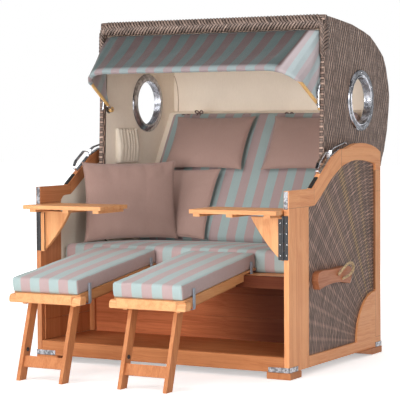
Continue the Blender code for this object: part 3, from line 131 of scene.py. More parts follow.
class Graph:
    """A node tree, with short calls for the few nodes that the finishes and the world use."""

    def __init__(self, name: str, kind: str = "materials", shader: str = "Principled BSDF") -> None:
        """Starts a material or a world with its one shader."""
        self.owner = getattr(bpy.data, kind).new(name)
        self.owner.use_nodes = True
        self.tree = self.owner.node_tree
        self.shader = self.tree.nodes[shader]
        self.place = self.node("ShaderNodeTexCoord", output="Object")

    def raw(self, kind: str, inputs: dict | None = None, **settings: object) -> bpy.types.Node:
        """Adds a node.

        Args:
            kind: the node's type name.
            inputs: values for its inputs, by name or number.
            settings: its own properties.

        Returns:
            The new node.
        """
        made = self.tree.nodes.new(kind)
        for name, value in settings.items():
            setattr(made, name, value)
        for name, value in (inputs or {}).items():
            self.feed(made.inputs[name], value)
        return made

    def node(self, kind: str, inputs: dict | None = None, output: int | str = 0, **settings: object) -> Value:
        """Adds a node, and gives one of its outputs."""
        return Value(self, self.raw(kind, inputs, **settings).outputs[output])

    def feed(self, socket: bpy.types.NodeSocket, value: object) -> None:
        """Links a value, or sets a constant, on an input."""
        if isinstance(value, Value):
            self.tree.links.new(value.socket, socket)
        elif socket.type == "RGBA" and len(value) == 3:
            socket.default_value = (*value, 1.0)
        else:
            socket.default_value = value

    def math(self, operation: str, a: object, b: object = 0.0, c: object = 0.0) -> Value:
        """The result of one Math node."""
        return self.node("ShaderNodeMath", {0: a, 1: b, 2: c}, operation=operation)

    def vector(self, operation: str, a: object, b: object = (0, 0, 0), output: str = "Vector") -> Value:
        """The result of one Vector Math node."""
        return self.node("ShaderNodeVectorMath", {0: a, 1: b}, output, operation=operation)

    def split(self, vector: Value) -> list[Value]:
        """The x, y and z of a vector."""
        return [Value(self, output) for output in self.raw("ShaderNodeSeparateXYZ", {0: vector}).outputs]

    def join(self, x: object, y: object, z: object) -> Value:
        """A vector of three numbers."""
        return self.node("ShaderNodeCombineXYZ", {0: x, 1: y, 2: z})

    def facing(self) -> list[Value]:
        """How far the surface faces along x, y and z, without the sign."""
        return [abs(part) for part in self.split(self.node("ShaderNodeNewGeometry", output="Normal"))]

    def mark(self, name: str) -> Value:
        """A number that the mesh carries."""
        return self.node("ShaderNodeAttribute", output="Fac", attribute_name=name)

    def ray(self, kind: str) -> Value:
        """1 for a ray of the given kind, else 0."""
        return self.node("ShaderNodeLightPath", output=f"Is {kind} Ray")

    def noise(self, vector: Value, scale: float, detail: float = 3.0, rough: float = 0.5, twist: float = 0.0) -> Value:
        """Noise from 0 to 1."""
        return self.node("ShaderNodeTexNoise", {"Vector": vector, "Scale": scale, "Detail": detail,
                                                "Roughness": rough, "Distortion": twist}, "Fac")

    def between(self, value: object, low: float, high: float, to_low: float = 0.0, to_high: float = 1.0) -> Value:
        """A value mapped smoothly from one range to another, and clamped."""
        return self.node("ShaderNodeMapRange", {0: value, 1: low, 2: high, 3: to_low, 4: to_high},
                         interpolation_type="SMOOTHSTEP")

    def mix(self, share: object, a: object, b: object, way: str = "MIX") -> Value:
        """A mix of two colours."""
        return self.node("ShaderNodeMix", {0: share, 6: a, 7: b}, 2, data_type="RGBA", blend_type=way)

    def bump(self, height: Value, depth: float, strength: float = 1.0, after: Value | None = None) -> Value:
        """A bumped normal, on top of another where one is given."""
        inputs = {"Height": height, "Distance": depth, "Strength": strength}
        if after is not None:
            inputs["Normal"] = after
        return self.node("ShaderNodeBump", inputs)

    def finish(self, colour: object, rough: object, normal: Value | None = None,
               **constants: float) -> bpy.types.Material:
        """Feeds the shader.

        Args:
            colour: the base colour.
            rough: the roughness.
            normal: a bumped normal, where there is one.
            constants: other shader inputs, with _ for a space.

        Returns:
            The finished material.
        """
        inputs = {"Base Color": colour, "Roughness": rough, "Normal": normal}
        for name, value in (inputs | constants).items():
            if value is not None:
                self.feed(self.shader.inputs[name.replace("_", " ")], value)
        return self.owner


@dataclass(frozen=True)
class Plank:
    """One board inside a node: its grain's direction, and the box that it fills."""

    grain: Point
    low: Point = (-FAR, -FAR, -FAR)
    high: Point = (FAR, FAR, FAR)

    def within(self, g: Graph, margin: float) -> Value | float:
        """1 inside the board's box, made larger by a margin, else 0."""
        share = 1.0
        for spot, low, high in zip(g.split(g.place), self.low, self.high):
            if low > -FAR:
                share = share * (spot > low - margin)
            if high < FAR:
                share = share * (spot < high + margin)
        return share


@dataclass(frozen=True)
class Timber:
    """Oiled light hardwood: long wavy grain, fine pores and a tone that differs from board to board."""

    name: str
    pale: Colour = (0.790, 0.400, 0.175)
    dark: Colour = (0.610, 0.235, 0.080)
    planks: tuple[Plank, ...] = (Plank((0, 0, 1)),)
    tone: float = 0.0
    dim_sides: float = 0.0
    rough: float = 0.46
    gloss: float = 0.45
    fade: float = 0.0
    gap: float = 0.0014

    def material(self) -> bpy.types.Material:
        """Builds the material."""
        g = Graph(self.name)
        along, across, joint = None, None, 0.0
        for number, plank in enumerate(self.planks):
            grain = tuple(Vector(plank.grain).normalized())
            run = g.vector("DOT_PRODUCT", g.place, grain, "Value")
            line = g.node("ShaderNodeVectorMath", {0: grain, "Scale": run}, operation="SCALE")
            shift = (number * 0.37 + self.tone, number * 0.21, number * 0.13)
            rest = g.vector("ADD", g.vector("SUBTRACT", g.place, line), shift)
            if along is None:
                along, across = run, rest
                continue
            inside, near = plank.within(g, 0.0), plank.within(g, self.gap)
            joint = g.math("MAXIMUM", joint, near - inside)
            along = inside * run + (1.0 - inside) * along
            across = g.node("ShaderNodeMix", {0: inside, 4: across, 5: rest}, 1, data_type="VECTOR")
        side = g.split(across)
        drift = (g.noise(g.join(side[0], side[1], along * 2.2), 1.4, 2.0) - 0.5) * 0.030
        bent = [part + drift for part in side]

        def fibres(wide: float, long: float, *rest: float) -> Value:
            """Noise that is stretched along the grain."""
            return g.noise(g.join(*[part * wide + along * long for part in bent]), 1.0, *rest)

        broad, fine, pores = fibres(34.0, 1.1, 3.0, 0.55, 0.6), fibres(210.0, 4.0, 2.0, 0.6), fibres(900.0, 22.0, 1.0)
        share = g.between(broad, 0.34, 0.68, 0.22, 0.60) + (fine - 0.5) * 0.95
        colour = g.mix(g.between(share, 0.0, 1.0), self.pale, self.dark)
        blotch = g.noise(g.place, 5.0, 2.0)
        colour = g.mix(g.between(blotch, 0.35, 0.75, 0.0, 0.14), colour, darker(self.dark, 0.78))
        colour = g.mix(g.between(pores, 0.60, 0.78, 0.0, 0.35), colour, darker(self.dark, 0.5))
        # Painted shade: faces that look along x are darkened towards the dark wood tone, by the share dim_sides.
        if self.dim_sides:
            colour = g.mix(g.between(g.facing()[0], 0.6, 0.8) * self.dim_sides, colour, darker(self.dark, 0.35))
        # Painted shade: the wood darkens to near black as x grows, for the shade inside the box.
        if self.fade:
            colour = g.mix(g.between(g.split(g.place)[0], -0.15, 0.42, 0.0, self.fade), colour, (0.025, 0.0, 0.0))
        if len(self.planks) > 1:
            colour = g.mix(joint * 0.75, colour, darker(self.dark, 0.25))
        normal = g.bump(pores, 0.0003, 0.5, g.bump(fine, 0.0006, 0.5))
        rough = g.between(fine, 0.2, 0.8, self.rough - 0.07, self.rough + 0.10)
        return g.finish(colour, rough, normal, Specular_IOR_Level=self.gloss)


class Weave(Enum):
    """How the strands of a wicker face run."""

    FAN = "arcs around the lower rear corner, over spokes that leave it"
    HOOD = "level rows over upright stakes, turned to follow the top and the back"
    STRAND = "one strand, lengthwise"


@dataclass(frozen=True)
class Wicker:
    """Flat weathered strands, woven over ribs, brown to grey, with a few straw-coloured ribs on the fans."""

    name: str
    weave: Weave
    rib: float = 0.0235
    row: float = 0.0086
    depth: float = 0.0034
    pale: Colour = (0.610, 0.430, 0.350)
    dark: Colour = (0.190, 0.110, 0.082)
    straw: Colour = (0.520, 0.330, 0.110)
    fan_centre: tuple[float, float] = (1.010 - DEPTH_SHIFT, 0.050)
    fan_step: float = math.radians(5.5)
    fan_first: float = math.radians(74.0)
    straw_ribs: tuple[tuple[float, float], ...] = ((0.0, 0.40), (-2.0, 0.62), (-4.0, 0.26))

    def material(self) -> bpy.types.Material:
        """Builds the material."""
        g = Graph(self.name)
        if self.weave is Weave.STRAND:
            return self.strand(g)
        x, y, z = g.split(g.place)
        fan = self.weave is Weave.FAN
        wander = (g.noise(g.place, 11.0, 2.0) - 0.5) * 0.9
        if fan:
            back, up = self.fan_centre[0] - y, z - self.fan_centre[1]
            across = (g.math("ARCTAN2", up, back) - self.fan_first) / self.fan_step
            rows = g.math("SQRT", back * back + up * up) / self.row
        else:
            facing = g.facing()
            on_side, on_top = facing[0] > 0.7, facing[2] > 0.7
            off_side = 1.0 - on_side
            level = g.math("MULTIPLY_ADD", y, 0.09, z) + (g.noise(g.place, 6.0, 1.0) - 0.5) * 0.030
            across = g.math("MULTIPLY_ADD", wander, 0.16, (on_side * level + off_side * x) / self.rib)
            rows = (on_side * y + off_side * (on_top * y + (1.0 - on_top) * z)) / self.row
        rows = rows + wander
        number = g.math("FLOOR", rows)
        place = g.math("MULTIPLY_ADD", g.math("FRACT", rows), 2.0, -1.0)
        over = g.math("COSINE", (across + number) * math.pi)
        ridge = g.between(abs(g.math("FRACT", across + 0.5) - 0.5), 0.0, 0.27, 1.0, 0.0)
        lifted = (1.0 - g.math("POWER", abs(place), 2.2)) * g.math("MULTIPLY_ADD", over, 0.34, 0.52)
        height = g.math("MULTIPLY_ADD", ridge, 0.22 if fan else 0.14, lifted)
        tone = g.node("ShaderNodeTexWhiteNoise", {"W": number}, "Value", noise_dimensions="1D")
        streak = g.noise(g.join(across * 0.5, number * 7.3, 0.0), 1.0, 2.0)
        shade = tone * 0.30 + g.between(streak, 0.3, 0.7) * 0.45
        # On the fans the ribs are painted lighter: partly wear on the raised strands, partly painted highlight.
        shade = g.math("MULTIPLY_ADD", ridge, 0.16 if fan else 0.0, shade)
        colour = g.mix(shade, self.dark, self.pale)
        for rib, share in self.straw_ribs if fan else ():
            near = g.between(abs(across - rib), 0.20, 0.42, share, 0.0)
            colour = g.mix(near * g.between(place, 0.3, 0.9, 1.0, 0.55), colour, self.straw)
        # Painted shade: where the weave lies low, between rows and where a strand dips under a rib, the colour goes
        # nearly black.
        colour = g.mix(g.between(height, 0.06, 0.70, 0.95, 0.0), colour, darker(self.dark, 0.12))
        grain = g.noise(g.join(across * 3.0, rows * 6.0, 0.0), 1.0, 1.0)
        normal = g.bump(height, self.depth, 1.0, g.bump(grain, 0.0006, 0.6))
        return g.finish(colour, g.between(grain, 0.2, 0.8, 0.42, 0.62), normal, Specular_IOR_Level=0.5)

    def strand(self, g: Graph) -> bpy.types.Material:
        """Dresses loose strands, whose tone is the tone that the mesh carries: each strand's own tone, with painted
        light on the half that faces out and painted shade on the half turned away.
        """
        grain = g.noise(g.place, 900.0, 1.0)
        shade = g.math("MULTIPLY_ADD", g.between(g.noise(g.place, 60.0, 2.0), 0.3, 0.7), 0.20, g.mark("tone"))
        colour = g.mix(g.between(shade, -0.2, 0.95), darker(self.dark, 0.14), self.pale)
        return g.finish(colour, g.between(grain, 0.2, 0.8, 0.42, 0.60), g.bump(grain, 0.0004, 0.6),
                        Specular_IOR_Level=0.5)


@dataclass(frozen=True)
class Cloth:
    """Woven outdoor cloth, plain or with even stripes across x."""

    name: str
    ground: Colour
    stripe: Colour | None = None
    width: float = 0.0477
    offset: float = 0.0
    side: Colour | None = None
    run: str = ""
    seam: float | None = None
    shaded: float = 0.0
    rough: float = 0.86
    thread: float = 0.0011
    crease: float = 0.0

    def material(self) -> bpy.types.Material:
        """Builds the material."""
        g = Graph(self.name)
        x, y, z = g.split(g.place)
        warp = g.math("SINE", (x + y * 0.35) * (math.tau / self.thread))
        weft = g.math("SINE", (z + y * 0.9) * (math.tau / self.thread))
        slub = g.noise(g.join(x * 240.0, y * 60.0, z * 60.0), 1.0, 3.0)
        soft = g.noise(g.place, 7.0, 3.0)
        colour = self.ground
        if self.stripe is not None:
            line = g.mark(self.run) if self.run else x
            if self.seam is not None:
                line = line + (x < self.seam) * self.width
            line = line - self.offset + (slub - 0.5) * 0.0012
            share = g.math("FRACT", line / (self.width * 2))
            colour = g.mix(share < 0.5, self.ground, self.stripe)
            if self.side is not None:
                colour = g.mix(g.facing()[0] > 0.70, colour, self.side)
        # Painted shade and light: where the shade mark is 1 the colour is deepened and darkened towards black by the
        # share shaded; where it is below 1 the colour is painted lighter towards a pale blue-grey.
        if self.shaded:
            dim = g.mark("shade")
            colour = g.mix((1.0 - dim) * 0.30, colour, (0.62, 0.64, 0.70))
            colour = g.mix(dim, colour, g.mix(1.0, colour, colour, "MULTIPLY"))
            colour = g.mix(dim * self.shaded, colour, (0.0, 0.0, 0.0))
        colour = g.mix(g.between(slub, 0.25, 0.75, 0.0, 0.28), colour, (0.9, 0.88, 0.86), "MULTIPLY")
        colour = g.mix(g.between(soft, 0.3, 0.7, 0.0, 0.16), colour, (0.80, 0.78, 0.78), "MULTIPLY")
        normal = g.bump(soft, 0.010, 0.25)
        if self.crease:
            normal = g.bump(g.noise(g.place, 9.5, 0.5, 0.5, 1.4), self.crease, 0.4, normal)
        normal = g.bump((warp + weft) * 0.25, 0.0004, 0.35, g.bump(slub, 0.0007, 0.45, normal))
        return g.finish(colour, g.between(slub, 0.2, 0.8, self.rough - 0.06, self.rough + 0.06), normal,
                        Sheen_Weight=0.22, Sheen_Roughness=0.5, Specular_IOR_Level=0.25)


@dataclass(frozen=True)
class Metal:
    """Polished, brushed or painted metal with light wear."""

    name: str
    colour: Colour
    rough: float = 0.16
    metallic: float = 1.0
    brushed: Point | None = None
    smoky: float = 0.0

    def material(self) -> bpy.types.Material:
        """Builds the material."""
        g = Graph(self.name)
        wear = g.noise(g.place, 120.0, 3.0)
        cloud = g.noise(g.place, 16.0, 2.0)
        rough = g.between(wear, 0.3, 0.7, self.rough * 0.75, self.rough * 1.35) + g.between(cloud, 0.3, 0.8, 0.0, 0.05)
        colour = g.mix(g.between(cloud, 0.3, 0.8, 0.0, 0.22), self.colour, darker(self.colour, 0.72))
        # Painted reflection: noise patches darken the metal's colour, standing in for dark reflections.
        if self.smoky > 0.0:
            patch = g.between(g.noise(g.place, 52.0, 1.0), 0.40, 0.60, 0.0, self.smoky)
            colour = g.mix(patch, colour, darker(self.colour, 0.12))
        normal = g.bump(wear, 0.0001, 0.25)
        if self.brushed is not None:
            lines = g.vector("MULTIPLY", g.place, self.brushed)
            normal = g.bump(g.noise(lines, 1.0, 2.0), 0.0002, 0.4, normal)
        return g.finish(colour, rough, normal, Metallic=self.metallic)


@dataclass(frozen=True)
class Twine:
    """Laid rope or knotted cord of pale fibre."""

    name: str
    colour: Colour = (0.560, 0.445, 0.300)

    def material(self) -> bpy.types.Material:
        """Builds the material."""
        g = Graph(self.name)
        fibre = g.noise(g.place, 1300.0, 2.0)
        drift = g.noise(g.place, 90.0, 2.0)
        colour = g.mix(g.between(drift, 0.3, 0.7), self.colour, darker(self.colour, 0.55))
        return g.finish(colour, 0.85, g.bump(fibre, 0.0006, 0.7), Sheen_Weight=0.2, Specular_IOR_Level=0.25)


def hood_front(z: float) -> float:
    """Where the hood's leaning front lies at a height."""
    return 0.472 + 0.0415 * (z - 0.972)


def ripple(point: Vector | Point, scale: float, seed: float = 0.0) -> float:
    """Smooth, repeatable noise from about -1 to 1."""
    return noise.noise(Vector(point) * scale + Vector((seed, seed * 1.7, -seed)))


def placed(name: str, data: bpy.types.ID) -> bpy.types.Object:
    """A new object of the scene."""
    made = bpy.data.objects.new(name, data)
    bpy.context.scene.collection.objects.link(made)
    return made


def shape(name: str, points: list, faces: list, material: bpy.types.Material, body: str, slot: str,
          smooth: bool = True) -> bpy.types.Object:
    """Makes a piece from points and faces, with its normals outward, and lets it ride.

    Args:
        name: the piece's name.
        points: its corners.
        faces: its faces, as corner numbers.
        material: its finish.
        body: the body that it rides on.
        slot: the record's material slot; not used.
        smooth: whether it is shaded smooth.

    Returns:
        The piece.
    """
    mesh = bpy.data.meshes.new(name)
    mesh.from_pydata([tuple(point) for point in points], [], faces)
    work = bmesh.new()
    work.from_mesh(mesh)
    bmesh.ops.remove_doubles(work, verts=work.verts, dist=0.00002)
    bmesh.ops.recalc_face_normals(work, faces=work.faces)
    work.to_mesh(mesh)
    work.free()
    mesh.polygons.foreach_set("use_smooth", [smooth] * len(mesh.polygons))
    mesh.materials.append(material)
    piece = placed(name, mesh)
    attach(piece, body)
    return piece


def rounded_path(points: list, steps: int, closed: bool = False) -> list[Vector]:
    """A smooth line through points (Catmull-Rom).

    Args:
        points: the points that it goes through.
        steps: how many parts each stretch gets.
        closed: whether it returns to its start.

    Returns:
        The line's points.
    """
    given = [Vector(point) for point in points]
    count = len(given)
    line = []
    for i in range(count if closed else count - 1):
        if closed:
            a, b, c, d = (given[(i + shift) % count] for shift in (-1, 0, 1, 2))
        else:
            a, b, c, d = (given[min(max(i + shift, 0), count - 1)] for shift in (-1, 0, 1, 2))
        for step in range(steps):
            t = step / steps
            line.append(0.5 * ((2 * b) + (c - a) * t + (2 * a - 5 * b + 4 * c - d) * t ** 2
                               + (3 * b - a - 3 * c + d) * t ** 3))
    if not closed:
        line.append(given[-1])
    return line


def sweep(path: list[Vector], section: list[tuple[float, float]], up: Vector, closed: bool = False,
          scales: list[float] | None = None, turns: list[float] | None = None) -> tuple[list, list]:
    """Carries a closed section along a path.

    Args:
        path: the path's points.
        section: the section's corners, sideways and upward.
        up: the way that the section's top faces at the start.
        closed: whether the path returns to its start.
        scales: the section's size at each point, as shares.
        turns: the section's twist at each point, in radians.

    Returns:
        Points and faces.
    """
    points, faces = [], []
    count, ring = len(path), len(section)
    normal = Vector(up)
    for i, here in enumerate(path):
        before = path[i - 1] if i or closed else here
        after = path[(i + 1) % count] if i < count - 1 or closed else here
        run = (after - before).normalized()
        normal = (normal - run * normal.dot(run)).normalized()
        aside = run.cross(normal)
        size = scales[i] if scales else 1.0
        twist = turns[i] if turns else 0.0
        cosine, sine = math.cos(twist) * size, math.sin(twist) * size
        for u, v in section:
            points.append(here + aside * (u * cosine - v * sine) + normal * (u * sine + v * cosine))
    for i in range(count if closed else count - 1):
        first, second = i * ring, ((i + 1) % count) * ring
        for j in range(ring):
            k = (j + 1) % ring
            faces.append((first + j, first + k, second + k, second + j))
    if not closed:
        faces.append(tuple(range(ring))[::-1])
        faces.append(tuple(range((count - 1) * ring, count * ring)))
    return points, faces


def circle(radius: float, corners: int = 8) -> list[tuple[float, float]]:
    """A round section."""
    return [(radius * math.cos(math.tau * i / corners), radius * math.sin(math.tau * i / corners))
            for i in range(corners)]


def band(half: float, thick: float) -> list[tuple[float, float]]:
    """A flat section, from its half width and half thickness."""
    return [(-half, -thick), (half, -thick), (half, thick), (-half, thick)]


def grid(count: int, deep: int, start: int = 0) -> list[tuple[int, ...]]:
    """The faces of a sheet of count lines with deep points each, numbered from start."""
    firsts = [start + i * deep + j for i in range(count - 1) for j in range(deep - 1)]
    return [(first, first + 1, first + deep + 1, first + deep) for first in firsts]


def thickened(sheet: bpy.types.Object, thick: float) -> None:
    """Gives a sheet its thickness, half of it on each side."""
    skin = sheet.modifiers.new("skin", "SOLIDIFY")
    skin.thickness = thick
    skin.offset = 0


def carry(piece: bpy.types.Object, name: str, values: list[float]) -> None:
    """Lets a mesh carry one number at each of its points."""
    if len(piece.data.vertices) == len(values):
        piece.data.attributes.new(name, "FLOAT", "POINT").data.foreach_set("value", values)


def gather(parts: list[tuple[list, list]]) -> tuple[list, list]:
    """Joins the points and faces of several parts."""
    points, faces = [], []
    for part_points, part_faces in parts:
        start = len(points)
        points.extend(part_points)
        faces.extend([tuple(start + corner for corner in face) for face in part_faces])
    return points, faces


def block(low: Point, high: Point) -> tuple[list, list]:
    """The points and faces of a box between two corners."""
    points = [at(*[low[axis] if i & 1 << axis else high[axis] for axis in range(3)]) for i in range(8)]
    return points, [(0, 1, 3, 2), (4, 6, 7, 5), (0, 4, 5, 1), (2, 3, 7, 6), (0, 2, 6, 4), (1, 5, 7, 3)]


def softened(piece: bpy.types.Object, width: float, segments: int = 2) -> bpy.types.Object:
    """Rounds a piece's edges."""
    bevel = piece.modifiers.new("soft_edges", "BEVEL")
    bevel.width = width
    bevel.segments = segments
    bevel.limit_method = "ANGLE"
    bevel.angle_limit = math.radians(35)
    return piece


def cube_skin(shares: tuple[list[float], list[float], list[float]]) -> tuple[list, list]:
    """The skin of a cube from -1 to 1, cut at the given shares of each axis."""
    numbers, points, faces = {}, [], []

    def corner(i: int, j: int, k: int) -> int:
        """The number of one grid point."""
        if (i, j, k) not in numbers:
            numbers[i, j, k] = len(points)
            points.append((shares[0][i], shares[1][j], shares[2][k]))
        return numbers[i, j, k]

    ends = [len(part) - 1 for part in shares]
    for axis in range(3):
        first, second = [other for other in range(3) if other != axis]
        for end in (0, ends[axis]):
            for i in range(ends[first]):
                for j in range(ends[second]):
                    face = []
                    for di, dj in ((0, 0), (1, 0), (1, 1), (0, 1)):
                        spot = [0, 0, 0]
                        spot[axis], spot[first], spot[second] = end, i + di, j + dj
                        face.append(corner(*spot))
                    faces.append(tuple(face))
    return points, faces


def even_shares(cells: int, edge: float = 0.0) -> list[float]:
    """Shares from -1 to 1, with three more cuts at each end where an edge share is given."""
    middle = [-1 + edge + (2 - 2 * edge) * i / cells for i in range(cells + 1)]
    if not edge:
        return middle
    rise = [edge * part for part in (0.0, 0.3, 0.65)]
    return [-1 + part for part in rise] + middle + [1 - part for part in rise[::-1]]


@dataclass
class Cushion:
    """A stuffed piece that stands for one solid of the model: it takes its place and size from that solid.

    Its own axes are x along its length, y through it, with the front at the low end, and z along its height.
    """

    node: str
    body: str
    turn: Matrix
    fill: float = 0.8
    edge_round: float = 0.018
    crown: float = 0.010
    cells: tuple[int, int, int] = (60, 8, 40)
    seed: float = 1.0
    middle: Vector = field(default_factory=Vector)
    half: Vector = field(default_factory=Vector)

    def measure(self) -> None:
        """Reads the solid's middle and half sizes along its own axes."""
        back = self.turn.inverted()
        corners = np.array([tuple(back @ v.co) for v in NODES[self.node].data.vertices])
        low, high = Vector(corners.min(0)), Vector(corners.max(0))
        self.middle = self.turn @ ((low + high) / 2)
        self.half = (high - low) / 2

    def put(self, points: list) -> list[Vector]:
        """Turns points on its own axes into the model's frame."""
        return [self.middle + self.turn @ Vector(point) for point in points]

    def declare(self, points: list, faces: list, material: bpy.types.Material, slot: str) -> bpy.types.Object:
        """Makes the piece, which replaces its solid."""
        piece = shape(self.node + "_soft", self.put(points), faces, material, self.body, slot)
        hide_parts(self.node)
        LOG.info("%s: %d faces", piece.name, len(faces))
        return piece


@dataclass
class BoxCushion(Cushion):
    """A foam cushion with a boxed edge: crowned on top, puckered along its seams, with sides that swell a little."""

    taper: float = 0.0
    taller: float = 0.0
    flare: float = 0.0
    bulge: float = 0.0035
    pucker: float = 0.0016
    wave: float = 0.0022
    seam_reach: float = 0.03

    def build(self, material: bpy.types.Material, slot: str) -> bpy.types.Object:
        """Builds the cushion."""
        self.measure()
        self.half.z += self.taller / 2
        self.middle += self.turn @ Vector((0, 0, self.taller / 2))
        half, edge, crown = self.half, self.edge_round, self.crown
        shares = tuple(even_shares(cells, min(0.5, edge / length)) for cells, length in zip(self.cells, half))
        raw, faces = cube_skin(shares)
        points = []
        flat = half.copy()
        flat.y -= crown * 0.5
        for a, b, c in raw:
            p = Vector((a * flat.x, b * flat.y, c * flat.z))
            core = Vector([max(-size + edge, min(size - edge, part)) for part, size in zip(p, flat)])
            away = p - core
            if away.length > 0:
                p = core + away.normalized() * edge
            front = b < 0
            inner = max(0.0, 1 - a ** 2) * max(0.0, 1 - c ** 2)
            p.y += crown * 0.5
            if front:
                p.y -= crown * min(1.0, inner * 1.6)
                p.y += self.taper * (c + 1) * half.z
            swell = 1 - b ** 2
            if max(abs(a), abs(c)) ** 8 > 0.2:
                rim = Vector((a if abs(a) >= abs(c) else 0, 0, c if abs(c) > abs(a) else 0))
                p += rim * self.bulge * (swell - 0.6)
            along = p.x if abs(c) >= abs(a) else p.z
            seam = sum(math.exp(-((1 - abs(share)) * size) / self.seam_reach)
                       for share, size in ((a, half.x), (c, half.z)))
            pucker = ripple((along, b * 0.02, 0.0), 38.0, self.seed) * self.pucker * min(1.0, seam)
            wave = ripple(p, 5.0, self.seed) * self.wave * (1.0 if front else 0.3)
            p.y += (pucker + wave) * (1 if front else -0.4)
            ahead = max(0.0, min(1.0, (0.10 - c) / 0.22))
            p.x *= 1 + self.flare * ahead * ahead * (3 - 2 * ahead)
            points.append(p)
        return self.declare(points, faces, material, slot)


@dataclass
class Pillow(Cushion):
    """A loose pillow of two sheets sewn at the edge: thick in the middle, with drawn-in sides and pointed corners."""

    pinch: float = 0.048
    piping: float = 0.0028
    ears: float = 0.030
    fold: float = 0.34
    dent: float = 0.42
    sag: float = 0.10
    seam_reach: float = 0.035

    def outline(self, a: float, c: float) -> tuple[float, float]:
        """Where a share of the pillow's face lies, on x and z."""
        half = self.half
        ear = 1 + self.ears * abs(a * c) ** 9
        return (half.x * a * ear * (1 - self.pinch * (1 - c ** 2) * abs(a)),
                half.z * c * ear * (1 - self.pinch * (1 - a ** 2) * abs(c)))

    def build(self, material: bpy.types.Material, slot: str) -> bpy.types.Object:
        """Builds the pillow and the piping along its seam."""
        self.measure()
        half = self.half
        shares = [even_shares(cells, 0.08) for cells in (self.cells[0], self.cells[2])]
        points = []
        count = [len(part) for part in shares]
        for sheet in (-1, 1):
            for a in shares[0]:
                for c in shares[1]:
                    x, z = self.outline(a, c)
                    thick = (max(0.0, 1 - abs(a) ** 2.6) * max(0.0, 1 - abs(c) ** 2.6)) ** 0.52
                    to_seam = min((1 - abs(a)) * half.x, (1 - abs(c)) * half.z)
                    along = x if (1 - abs(c)) * half.z < (1 - abs(a)) * half.x else z
                    fold = ripple((along, 0.3 * sheet, 0.0), 34.0, self.seed) * math.exp(-to_seam / self.seam_reach)
                    corner = (abs(a) * abs(c)) ** 3
                    spoke = math.atan2(z * math.copysign(1, z), x * math.copysign(1, x))
                    dent = math.sin(spoke * 26 + self.seed * 3) * corner * 0.45
                    sag = ripple((x, sheet * 0.2, z), 7.0, self.seed) * self.sag * thick
                    y = sheet * half.y * max(0.0, thick * (1 + self.fold * fold + self.dent * dent) + sag)
                    if to_seam <= 1e-9:
                        y = 0.0
                    points.append((x, y, z))
        faces = grid(*count) + grid(*count, count[0] * count[1])
        piece = self.declare(points, faces, material, slot)
        line = []
        for a0, c0, a1, c1 in ((-1, -1, 1, -1), (1, -1, 1, 1), (1, 1, -1, 1), (-1, 1, -1, -1)):
            for step in range(24):
                t = step / 24
                x, z = self.outline(a0 + (a1 - a0) * t, c0 + (c1 - c0) * t)
                line.append((x, 0.0, z))
        cord = sweep(self.put(line), circle(self.piping, 6), self.turn @ BACK, closed=True)
        trim = shape(self.node + "_piping", *cord, material, self.body, slot)
        trim.parent = piece
        trim.matrix_parent_inverse = Matrix.Identity(4)
        trim.matrix_world = Matrix.Identity(4)
        return piece


